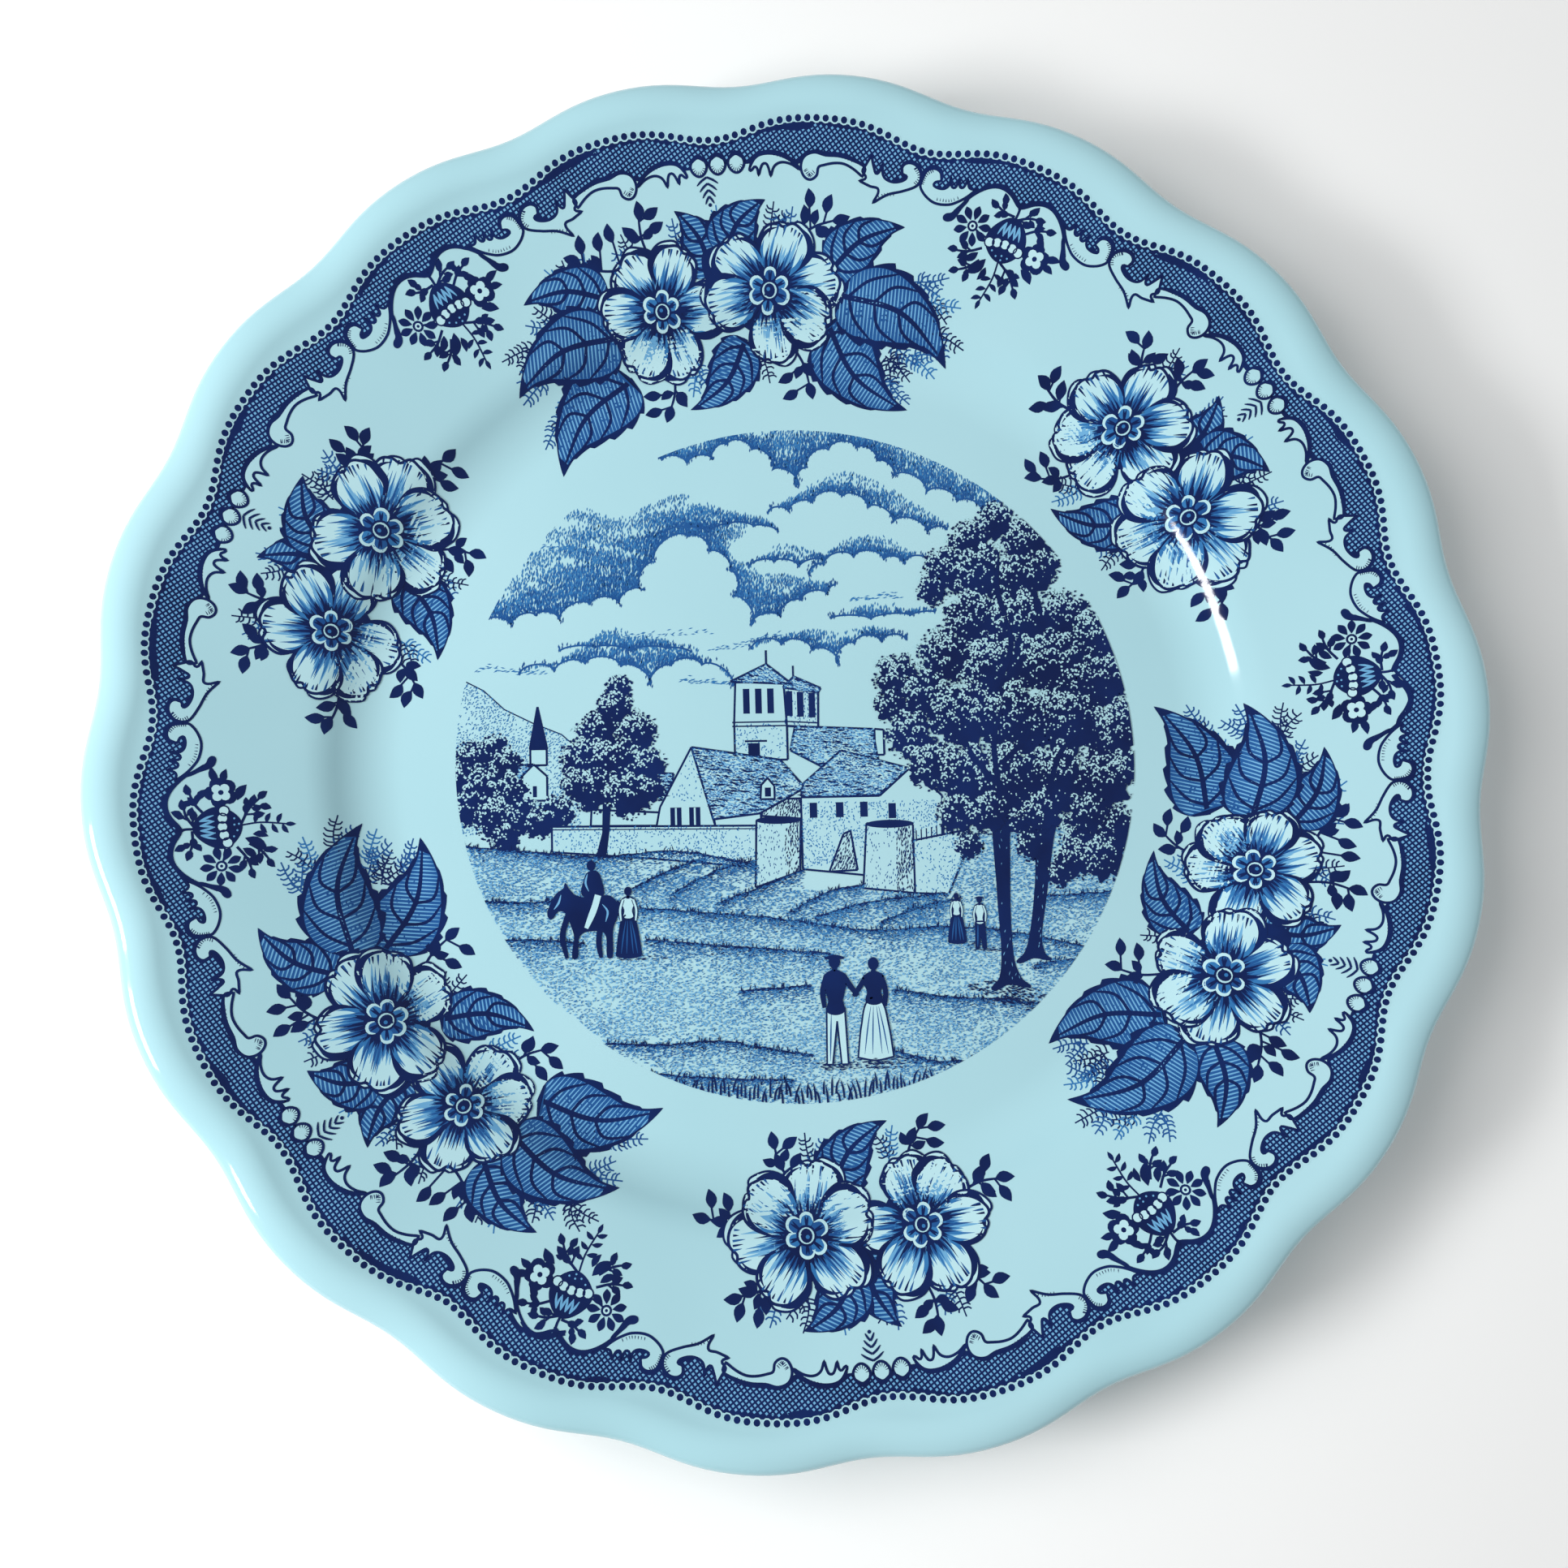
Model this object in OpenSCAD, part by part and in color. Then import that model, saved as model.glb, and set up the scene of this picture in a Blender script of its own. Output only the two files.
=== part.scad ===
// Dinner plate with an eighteen-lobed rim: an earthenware body, the blue transfers laid on it, and the
// glaze that covers them. Millimetres, +Z up, origin at the middle of the foot ring's standing face.
// Every layer is one cross-section swept round the plate, and follows the same face line at its own depth.

/* [Face] */
// Radius of the flat floor of the well
well_r = 77; // [70:0.5:82]
// Height of the well's floor above the table
floor_h = 6.2; // [5.5:0.1:8]
// Radius of the hollow curve at the foot of the well's wall
cove_r = 20; // [15:0.5:24]
// Steepest slope of the well's wall, in degrees
wall_slope = 38; // [30:1:42]
// Radius of the round from the wall to the flange
shoulder_r = 20; // [14:0.5:26]
// Slope of the flange, in degrees
flange_slope = 20; // [16:0.5:24]
// Width of the straight flange, seen from above
flange_w = 27.5; // [24:0.5:30]

/* [Lip] */
// Slope where the flange kicks up into the lip, in degrees
kick_slope = 30; // [24:0.5:30]
// Radius of the kick
kick_r = 20; // [10:1:30]
// Radius of the rolled top of the lip
roll_r = 7; // [5:0.5:9]
// Slope at which the roll falls away outwards, in degrees
roll_fall = 25; // [15:1:35]
// Thickness of the plate
plate_t = 4.2; // [3.8:0.1:4.8]

/* [Lobes] */
// Number of lobes round the rim
lobe_count = 18; // [12:2:24]
// How far each lobe stands out from the mean rim
lobe_out = 1.2; // [0:0.1:2.5]
// Sharpening of the dips between lobes
lobe_pinch = 0.15; // [0:0.05:0.3]
// How far the lip rises on a lobe, and falls in a dip
lobe_lift = 0.4; // [0:0.1:0.8]
// Direction of the first lobe, in degrees from +X
lobe_turn = 4; // [0:1:19]

/* [Foot] */
// Middle radius of the foot ring
foot_r = 75; // [70:0.5:77]
// Width of the bare standing face
foot_w = 3; // [2:0.5:4]
// Width of the foot ring where it meets the plate
foot_root_w = 7; // [6:0.5:8]
// Height at which the glaze stops above the table
bare_h = 0.5; // [0.3:0.1:0.8]

/* [Layers] */
// Thickness of the glaze
glaze_t = 0.3; // [0.2:0.05:0.4]
// Thickness of a transfer under the glaze
transfer_t = 0.06; // [0.04:0.01:0.1]
// Radius of the round picture in the well
picture_r = 68; // [50:1:72]
// Number of sheets that the border transfer is laid in
border_sheets = 3; // [2:1:6]

/* [Hidden] */

flange_from = well_r + (cove_r + shoulder_r) * sin(wall_slope) - shoulder_r * sin(flange_slope);
flange_to = flange_from + flange_w;
steps_per_lobe = 6;
turn_steps = lobe_count * steps_per_lobe;
// Steps from +X to the seam before the first border sheet, which falls in a dip of the pattern
first_seam = -1;
round_fn = 180;

// ---- The face line: a list of [r, z, heading], from the floor's edge out to the end of the roll ----

// Stations along an arc that starts at p and ends at the heading to_h, turning up if to_h is steeper
function arc(p, radius, to_h, steps) =
    let (side = to_h > p[2] ? 1 : -1,
         cr = p[0] - side * radius * sin(p[2]),
         cz = p[1] + side * radius * cos(p[2]))
    [for (i = [1:steps])
        let (h = p[2] + (to_h - p[2]) * i / steps)
        [cr + side * radius * sin(h), cz - side * radius * cos(h), h]];
function run(p, across) = [p[0] + across, p[1] + across * tan(p[2]), p[2]];
function last(list) = list[len(list) - 1];

floor_edge = [well_r, floor_h, 0];
cove = arc(floor_edge, cove_r, wall_slope, 4);
shoulder = arc(last(cove), shoulder_r, flange_slope, 2);
flange_end = run(last(shoulder), flange_w);
kick = arc(flange_end, kick_r, kick_slope, 1);
roll = arc(last(kick), roll_r, -roll_fall, 4);

well_line = concat(cove, shoulder);
face_line = concat([floor_edge], well_line, [flange_end], kick, roll);
// The back has fewer stations, because its bends are wider
back_line = [last(roll), roll[1], flange_end, shoulder[1], cove[3], cove[1]];

// A station moved to a depth below the face
function sunk(p, depth) = [p[0] + depth * sin(p[2]), p[1] - depth * cos(p[2])];
function reversed(list) = [for (i = [len(list) - 1:-1:0]) list[i]];

// The round edge of the lip, for a layer that starts at a depth below the face
function lip_edge(depth, steps = 5) =
    let (end = last(roll), middle = sunk(end, plate_t / 2), radius = plate_t / 2 - depth)
    [for (i = [1:steps - 1])
        let (a = 90 + end[2] - 180 * i / steps)
        middle + radius * [cos(a), sin(a)]];

// The skin at a depth inside the plate's outside, from the floor's edge round the lip to the flat underneath
function skin(depth) =
    concat([for (p = face_line) sunk(p, depth)],
           lip_edge(depth),
           back_skin(depth));
function back_skin(depth) =
    concat([for (p = back_line) sunk(p, plate_t - depth)],
           [[foot_out_root + 1, under_h + depth]]);

// ---- The foot ring ----

under_h = floor_h - plate_t;
foot_out = foot_r + foot_w / 2;
foot_in = foot_r - foot_w / 2;
foot_out_root = foot_r + foot_root_w / 2;
foot_in_root = foot_r - foot_root_w / 2;

// Each side of the foot at a depth under the glaze, between its root and where the glaze stops
function foot_outside(depth) =
    [[foot_out_root - depth, under_h + depth], [foot_out + 0.4 - depth, bare_h]];
function foot_inside(depth) =
    [[foot_in - 0.4 + depth, bare_h], [foot_in_root + depth, under_h + depth]];

// ---- Sweeping a cross-section round the lobed plate ----

// How much of the lobes a point at radius r takes: none in the well, all at the rim
function lobe_share(r) =
    let (t = max(0, min(1, (r - flange_from) / (flange_to - flange_from)))) t * t * (3 - 2 * t);
function lobe_wave(a) = let (p = lobe_count * (a - lobe_turn)) lobe_out * cos(p) - lobe_pinch * cos(2 * p);
function lobe_rise(a) = lobe_lift * cos(lobe_count * (a - lobe_turn));
function placed(p, a) =
    let (share = lobe_share(p[0]), r = p[0] + share * lobe_wave(a))
    [r * cos(a), r * sin(a), p[1] + share * lobe_rise(a)];

function ring(section, a) = [for (p = section) placed(p, a)];
function quads(from, to, n, closed) =
    [for (j = [0:n - (closed ? 1 : 2)])
        let (k = (j + 1) % n)
        each [[from + j, to + j, to + k], [from + j, to + k, from + k]]];

// A solid of revolution with lobes. line runs from the edge of one flat disc to the edge of another.
module lobed_turning(line) {
    n = len(line);
    points = [for (i = [0:turn_steps - 1]) each ring(line, i * 360 / turn_steps)];
    walls = [for (i = [0:turn_steps - 1]) each quads(i * n, ((i + 1) % turn_steps) * n, n, false)];
    first_disc = [for (i = [turn_steps - 1:-1:0]) i * n];
    last_disc = [for (i = [0:turn_steps - 1]) i * n + n - 1];
    polyhedron(points, concat(walls, [first_disc, last_disc]), convexity = 6);
}

// A closed cross-section swept through part of the turn, with flat ends
module lobed_sheet(section, from_step, to_step) {
    n = len(section);
    count = to_step - from_step;
    points = [for (i = [from_step:to_step]) each ring(section, i * 360 / turn_steps)];
    walls = [for (i = [0:count - 1]) each quads(i * n, (i + 1) * n, n, true)];
    start_end = [for (j = [0:n - 1]) j];
    far_end = [for (j = [n - 1:-1:0]) count * n + j];
    polyhedron(points, concat(walls, [start_end, far_end]), convexity = 6);
}

// ---- The border transfer lies between these stations of the face line ----

border_line = [well_line[2], well_line[3], well_line[4], well_line[5], flange_end, last(kick)];
border_under = [for (p = border_line) sunk(p, glaze_t)];
border_over = [for (p = border_line) sunk(p, glaze_t - transfer_t)];

// The glaze's underside, hollowed where the transfers lie
function glaze_underside() =
    let (depth = glaze_t,
         picture_h = floor_h - glaze_t)
    concat([[picture_r, picture_h + transfer_t], [picture_r, picture_h]],
           [for (p = [floor_edge, well_line[0], well_line[1], well_line[2]]) sunk(p, depth)],
           border_over,
           [for (p = concat(kick, roll)) sunk(p, depth)],
           lip_edge(depth),
           back_skin(depth),
           foot_outside(depth));

// ---- Sub-parts ----

// The fired clay, all in one piece with its foot ring, whose standing face is bare
module body() {
    color("ivory") {
        lobed_turning(skin(glaze_t));
        foot_ring();
    }
}

// The foot ring, which runs up into the thickness of the plate
module foot_ring() {
    outer = foot_outside(glaze_t);
    inner = foot_inside(glaze_t);
    rooted = under_h + plate_t / 2;
    rotate_extrude($fn = round_fn)
        polygon(concat([[outer[0][0], rooted]], outer, [[foot_out, 0], [foot_in, 0]],
                       inner, [[inner[1][0], rooted]]));
}

// The glaze over the face, the lip and the back, down to the bare foot
module glaze_coat() {
    color("paleturquoise")
        lobed_turning(concat(skin(0), foot_outside(0), reversed(glaze_underside())));
}

// The glaze inside the foot ring
module base_glaze() {
    outer = foot_inside(0);
    inner = foot_inside(glaze_t);
    color("paleturquoise")
        rotate_extrude($fn = round_fn)
            polygon([[0, under_h], outer[1], outer[0], inner[0], inner[1], [0, under_h + glaze_t]]);
}

// The round picture on the floor of the well
module centre_transfer() {
    color("royalblue")
        translate([0, 0, floor_h - glaze_t])
            cylinder(r = picture_r, h = transfer_t, $fn = round_fn);
}

// One sheet of the border, counted from 1
module border_transfer(sheet) {
    span = turn_steps / border_sheets;
    from = first_seam + (sheet - 1) * span;
    color("royalblue")
        lobed_sheet(concat(border_over, reversed(border_under)), from, from + span);
}

body();
glaze_coat();
base_glaze();
centre_transfer();
border_transfer(1);  // border_transfer_1
border_transfer(2);  // border_transfer_2
border_transfer(3);  // border_transfer_3
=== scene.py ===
"""The looks of a lobed china dinner plate: its glaze, its bare foot and the pictures printed on it in blue.

Drawings are flat, in millimetres, seen from above with the plate's centre as origin. Each drawing is a list
of printed shapes, and every shape lies on the plate's face at the height of its layer.
"""

import math
import random

import bpy
import numpy as np
from mathutils import Matrix, Vector
from mathutils.geometry import delaunay_2d_cdt


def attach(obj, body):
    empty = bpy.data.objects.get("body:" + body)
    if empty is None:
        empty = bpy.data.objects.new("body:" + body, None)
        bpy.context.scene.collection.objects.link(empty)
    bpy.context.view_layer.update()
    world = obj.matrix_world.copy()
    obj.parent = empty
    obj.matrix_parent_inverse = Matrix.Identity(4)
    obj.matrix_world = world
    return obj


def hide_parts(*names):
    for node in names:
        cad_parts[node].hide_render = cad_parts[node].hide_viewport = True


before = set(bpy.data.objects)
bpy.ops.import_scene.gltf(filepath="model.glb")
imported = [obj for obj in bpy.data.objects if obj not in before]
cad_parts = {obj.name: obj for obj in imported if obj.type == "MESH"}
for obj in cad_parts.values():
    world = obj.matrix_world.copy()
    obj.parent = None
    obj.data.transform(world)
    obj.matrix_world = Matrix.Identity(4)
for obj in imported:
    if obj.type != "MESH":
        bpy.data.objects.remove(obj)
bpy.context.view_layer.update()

MM = 0.001
rng = random.Random(7)

# ---------------------------------------------------------------- the plate's shape, as the CAD has it

FLOOR_R, FLOOR_H = 77.0, 6.2
COVE_R, WALL_SLOPE = 20.0, 38.0
SHOULDER_R, FLANGE_SLOPE, FLANGE_W = 20.0, 20.0, 27.5
KICK_R, KICK_SLOPE = 20.0, 30.0
ROLL_R, ROLL_FALL = 7.0, 25.0
PLATE_T = 4.2
LOBES, LOBE_OUT, LOBE_PINCH, LOBE_LIFT, LOBE_TURN = 18, 1.2, 0.15, 0.4, math.radians(4)
FOOT_R, FOOT_W, FOOT_ROOT_W, BARE_H = 75.0, 3.0, 7.0, 0.5
FOOT_OUT, FOOT_IN = FOOT_R + FOOT_W / 2, FOOT_R - FOOT_W / 2
UNDER_H = FLOOR_H - PLATE_T


def arc(start, radius, to_slope, steps):
    """Stations (r, z, slope) on an arc that leaves start smoothly and ends at a slope in degrees."""
    r0, z0, slope0 = start
    side = 1 if to_slope > slope0 else -1
    stations = []
    for i in range(1, steps + 1):
        slope = slope0 + (to_slope - slope0) * i / steps
        a0, a = math.radians(slope0), math.radians(slope)
        r = r0 + side * radius * (math.sin(a) - math.sin(a0))
        z = z0 + side * radius * (math.cos(a0) - math.cos(a))
        stations.append((r, z, slope))
    return stations


def straight(start, across, steps):
    """Stations on a straight run from start."""
    r0, z0, slope = start
    rise = math.tan(math.radians(slope))
    return [(r0 + across * i / steps, z0 + across * rise * i / steps, slope) for i in range(1, steps + 1)]


def face_stations():
    """The face of the plate, from the edge of the well's floor out to the end of the rolled lip."""
    line = [(FLOOR_R, FLOOR_H, 0.0)]
    line += arc(line[-1], COVE_R, WALL_SLOPE, 12)
    line += arc(line[-1], SHOULDER_R, FLANGE_SLOPE, 6)
    line += straight(line[-1], FLANGE_W, 12)
    line += arc(line[-1], KICK_R, KICK_SLOPE, 3)
    line += arc(line[-1], ROLL_R, -ROLL_FALL, 12)
    return line


FACE = face_stations()
FACE_R = np.array([0.0] + [s[0] for s in FACE])
FACE_Z = np.array([FLOOR_H] + [s[1] for s in FACE])
FLANGE_FROM = FACE[18][0]
FLANGE_TO = FLANGE_FROM + FLANGE_W


def lobe_share(r):
    """How much of the lobes a radius takes: none in the well, all at the rim."""
    t = np.clip((r - FLANGE_FROM) / (FLANGE_TO - FLANGE_FROM), 0, 1)
    return t * t * (3 - 2 * t)


def lobe_wave(a):
    """How far the rim stands out from its mean at an angle in radians."""
    p = LOBES * (a - LOBE_TURN)
    return LOBE_OUT * np.cos(p) - LOBE_PINCH * np.cos(2 * p)


def lobe_rise(a):
    """How far the rim rises at an angle in radians: up on a lobe, down in a dip."""
    return LOBE_LIFT * np.cos(LOBES * (a - LOBE_TURN))


def face_height(x, y):
    """Height of the plate's face over a point of the plan."""
    a = np.arctan2(y, x)
    reach = np.hypot(x, y)
    r = reach
    for _ in range(4):
        r = reach - lobe_share(r) * lobe_wave(a)
    return np.interp(r, FACE_R, FACE_Z) + lobe_share(r) * lobe_rise(a)


def face_normals(x, y):
    """Upward normals of the face, smoothed over a millimetre."""
    d = 0.5
    slope_x = (face_height(x + d, y) - face_height(x - d, y)) / (2 * d)
    slope_y = (face_height(x, y + d) - face_height(x, y - d)) / (2 * d)
    n = np.stack([-slope_x, -slope_y, np.ones_like(x)], 1)
    return n / np.linalg.norm(n, axis=1, keepdims=True)


# ---------------------------------------------------------------- materials

def linear(red, green, blue):
    """A colour given in 0-255 screen values, as the linear values that shaders take."""
    share = [c / 255 for c in (red, green, blue)]
    return [c / 12.92 if c <= 0.04045 else ((c + 0.055) / 1.055) ** 2.4 for c in share] + [1.0]


def mottled(name, low, high, scale, roughness, bump=0.0, bump_scale=60.0):
    """A material whose colour drifts between two values, with a faint unevenness in its surface."""
    material = bpy.data.materials.new(name)
    material.use_nodes = True
    nodes, links = material.node_tree.nodes, material.node_tree.links

    def node(kind, **inputs):
        made = nodes.new("ShaderNode" + kind)
        for socket, value in inputs.items():
            made.inputs[socket].default_value = value
        return made

    shader = nodes["Principled BSDF"]
    shader.inputs["Roughness"].default_value = roughness
    place = node("TexCoord")
    noise = node("TexNoise", Scale=scale, Detail=3)
    ramp = node("ValToRGB")
    for stop, position, colour in zip(ramp.color_ramp.elements, (0.3, 0.7), (low, high)):
        stop.position = position
        stop.color = colour
    links.new(place.outputs["Object"], noise.inputs["Vector"])
    links.new(noise.outputs["Fac"], ramp.inputs["Fac"])
    links.new(ramp.outputs["Color"], shader.inputs["Base Color"])
    if bump:
        ripple = node("TexNoise", Scale=bump_scale)
        push = node("Bump", Strength=bump, Distance=0.001)
        links.new(place.outputs["Object"], ripple.inputs["Vector"])
        links.new(ripple.outputs["Fac"], push.inputs["Height"])
        links.new(push.outputs["Normal"], shader.inputs["Normal"])
    return material


GLOSS = 0.08
GROUND, WHITE, LIGHT, SOFT, MID, DARK = "ground", "white", "light", "soft", "mid", "dark"
TONES = {
    GROUND: mottled("tinted_glaze", linear(168, 211, 220), linear(175, 216, 225), 14, GLOSS, 0.02),
    WHITE: mottled("pale_glaze", linear(178, 219, 228), linear(187, 225, 232), 30, GLOSS, 0.02),
    LIGHT: mottled("thin_ink", linear(100, 162, 206), linear(114, 174, 214), 90, GLOSS, 0.02),
    SOFT: mottled("washed_ink", linear(42, 108, 168), linear(54, 122, 180), 90, GLOSS, 0.02),
    MID: mottled("middle_ink", linear(20, 72, 134), linear(34, 90, 152), 90, GLOSS, 0.02),
    DARK: mottled("full_ink", linear(0, 22, 72), linear(4, 34, 92), 90, GLOSS, 0.02),
}
BARE_CLAY = mottled("bare_clay", linear(214, 205, 186), linear(228, 221, 205), 220, 0.75, 0.3, 900)

# ---------------------------------------------------------------- drawing

# Height of a layer of print above the one below it, and of a shape above its neighbour on the same layer
LAYER, NUDGE = 0.006, 0.0002
# Height of the lowest layer above the glaze
SURFACE_GAP = 0.035


class Drawing:
    """Printed shapes on the flat: for each tone, arrays of points, heights above the face, and triangles."""

    def __init__(self):
        self.shapes = []

    def add(self, tone, layer, points, faces):
        """One shape. Neighbours on a layer sit at slightly different heights, so that they never coincide."""
        points = np.asarray(points, float)
        height = layer * LAYER + len(self.shapes) % 12 * NUDGE
        self.shapes.append((tone, points, np.full(len(points), height), np.asarray(faces, int)))

    def packed(self):
        """The same drawing with one shape for each tone, which copies faster."""
        merged = Drawing()
        for tone in TONES:
            mine = [s for s in self.shapes if s[0] == tone]
            if not mine:
                continue
            starts = np.cumsum([0] + [len(s[1]) for s in mine[:-1]])
            points = np.concatenate([s[1] for s in mine])
            heights = np.concatenate([s[2] for s in mine])
            faces = np.concatenate([s[3] + start for s, start in zip(mine, starts)])
            merged.shapes.append((tone, points, heights, faces))
        return merged

    def put(self, other, turn, flip=False):
        """Adds a copy of another drawing: mirrored left to right if flip is set, then turned by degrees."""
        c, s = math.cos(math.radians(turn)), math.sin(math.radians(turn))
        matrix = np.array([[-c, -s], [-s, c]]) if flip else np.array([[c, -s], [s, c]])
        for tone, points, heights, faces in other.shapes:
            self.shapes.append((tone, points @ matrix.T, heights, faces))

    def bent(self, bend):
        """The drawing with every point moved by a function of an array of points."""
        moved = Drawing()
        for tone, points, heights, faces in self.shapes:
            moved.shapes.append((tone, bend(points), heights, faces))
        return moved


def polar(a, r=1.0):
    """Points at angles in radians and distances from the origin."""
    return np.stack([r * np.cos(a), r * np.sin(a)], -1)


def unit(vector):
    """A vector's direction, one millimetre long."""
    return vector / np.linalg.norm(vector)


def left_of(vector):
    """A vector turned a quarter turn to the left."""
    return np.array([-vector[1], vector[0]])


def curve(points, step=0.6, closed=False):
    """A smooth line through points. A point given twice is a corner."""
    p = np.asarray(points, float)
    if closed:
        p = np.concatenate([p[-1:], p, p[:2]])
    else:
        p = np.concatenate([2 * p[:1] - p[1:2], p, 2 * p[-1:] - p[-2:-1]])
    made = []
    for before, start, end, after in zip(p[:-3], p[1:-2], p[2:-1], p[3:]):
        length = np.linalg.norm(end - start)
        if length < 1e-6:
            continue
        leave, arrive = end - before, after - start
        leave = leave / max(np.linalg.norm(leave), 1e-9) * length
        arrive = arrive / max(np.linalg.norm(arrive), 1e-9) * length
        count = max(1, math.ceil(length / step))
        t = (np.arange(count) / count)[:, None]
        made.append((2 * t**3 - 3 * t**2 + 1) * start + (t**3 - 2 * t**2 + t) * leave
                    + (3 * t**2 - 2 * t**3) * end + (t**3 - t**2) * arrive)
    if not closed:
        made.append(p[-2:-1])
    return np.concatenate(made)


def swell(count, width, start=0.2, end=0.2, belly=0.5):
    """Widths along a stroke: a share of the full width at each end, all of it at the belly."""
    t = np.linspace(0, 1, count)
    rise = start + (1 - start) * np.sin(np.clip(t / belly, 0, 1) * math.pi / 2)
    fall = end + (1 - end) * np.cos(np.clip((t - belly) / (1 - belly), 0, 1) * math.pi / 2)
    return width * np.where(t < belly, rise, fall)


def ribbon(art, tone, layer, line, width):
    """A stroke along a line; width is one number, or one for each point."""
    line = np.asarray(line, float)
    along = np.gradient(line, axis=0)
    along /= np.maximum(np.linalg.norm(along, axis=1, keepdims=True), 1e-9)
    half = np.broadcast_to(np.asarray(width, float), len(line)) / 2
    side = np.stack([-along[:, 1], along[:, 0]], 1) * half[:, None]
    n = len(line)
    i = np.arange(n - 1)
    faces = np.concatenate([np.stack([i + n, i + n + 1, i + 1], 1), np.stack([i + n, i + 1, i], 1)])
    art.add(tone, layer, np.concatenate([line + side, line - side]), faces)


def pen(art, tone, layer, points, width, start=0.25, end=0.25, belly=0.5, step=0.6):
    """A pen stroke through a few points, that swells to its full width."""
    line = curve(points, step)
    ribbon(art, tone, layer, line, swell(len(line), width, start, end, belly))


def blade(art, tone, layer, root, tip, width, bend=0.0, belly=0.45, step=0.7):
    """A small leaf: a pointed stroke from root to tip, bowed sideways by a share of its length."""
    root, tip = np.asarray(root, float), np.asarray(tip, float)
    line = curve([root, (root + tip) / 2 + bend * left_of(tip - root), tip], step)
    ribbon(art, tone, layer, line, swell(len(line), width, 0.05, 0.02, belly))


def disc(art, tone, layer, centre, radius, sides=12):
    """A round dot."""
    ring = circle((0, 0), radius, sides)
    points = np.concatenate([[(0.0, 0.0)], ring]) + np.asarray(centre, float)
    art.add(tone, layer, points, [(0, i + 1, (i + 1) % sides + 1) for i in range(sides)])


def inside(outline, points):
    """Which of the points lie inside an outline."""
    x, y = points[:, 0:1], points[:, 1:2]
    a, b = outline, np.roll(outline, -1, 0)
    straddles = (a[:, 1] > y) != (b[:, 1] > y)
    crossing = (b[:, 0] - a[:, 0]) * (y - a[:, 1]) / (b[:, 1] - a[:, 1] + 1e-12) + a[:, 0]
    return (straddles & (x < crossing)).sum(1) % 2 == 1


def patch(art, tone, layer, outline, grid=1.7):
    """A filled outline, with points inside it so that it follows the curve of the plate."""
    outline = np.asarray(outline, float)
    ahead = np.roll(outline, -1, 0)
    if (outline[:, 0] * ahead[:, 1] - ahead[:, 0] * outline[:, 1]).sum() < 0:
        outline = outline[::-1]
    low, high = outline.min(0), outline.max(0)
    loose = np.zeros((0, 2))
    if grid and (high - low).max() > 2 * grid:
        gx, gy = np.meshgrid(np.arange(low[0] + grid / 2, high[0], grid),
                             np.arange(low[1] + grid / 2, high[1], grid))
        loose = np.stack([gx.ravel(), gy.ravel()], 1)
        loose = loose[inside(outline, loose)]
    n = len(outline)
    corners = [Vector(p) for p in np.concatenate([outline, loose])]
    edges = [(i, (i + 1) % n) for i in range(n)]
    made = delaunay_2d_cdt(corners, edges, [list(range(n))], 1, 1e-6)
    if len(made[2]):
        art.add(tone, layer, [tuple(v) for v in made[0]], [tuple(f) for f in made[2]])


def hatch(art, tone, layer, outline, angle, pitch, width, inset):
    """Straight strokes across an outline, at an angle in degrees."""
    shortest = 0.6
    c, s = math.cos(math.radians(angle)), math.sin(math.radians(angle))
    u, v = outline @ [c, s], outline @ [-s, c]
    u2, v2 = np.roll(u, -1), np.roll(v, -1)
    for row in np.arange(v.min() + pitch / 2, v.max(), pitch):
        cut = np.nonzero((v > row) != (v2 > row))[0]
        hits = np.sort(u[cut] + (row - v[cut]) / (v2[cut] - v[cut]) * (u2[cut] - u[cut]))
        for start, end in zip(hits[::2] + inset, hits[1::2] - inset):
            if end - start < shortest:
                continue
            along = np.linspace(start, end, max(3, math.ceil((end - start) / 0.8) + 1))
            line = np.stack([c * along - s * row, s * along + c * row], 1)
            ribbon(art, tone, layer, line, swell(len(line), width, 0.35, 0.35))


def outlined(art, tone, layer, outline, width, fill=GROUND, grid=1.7, over=1):
    """A filled shape with a line round it, that lies some layers over the fill."""
    patch(art, fill, layer, outline, grid)
    ribbon(art, tone, layer + over, np.concatenate([outline, outline[:2]]), width)


# ---------------------------------------------------------------- leaves and flowers

def circle(centre, radius, sides=24, squash=1.0):
    """The outline of a circle, or of an ellipse squashed in y."""
    return polar(np.arange(sides) * 2 * math.pi / sides, radius) * (1, squash) + np.asarray(centre, float)


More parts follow.
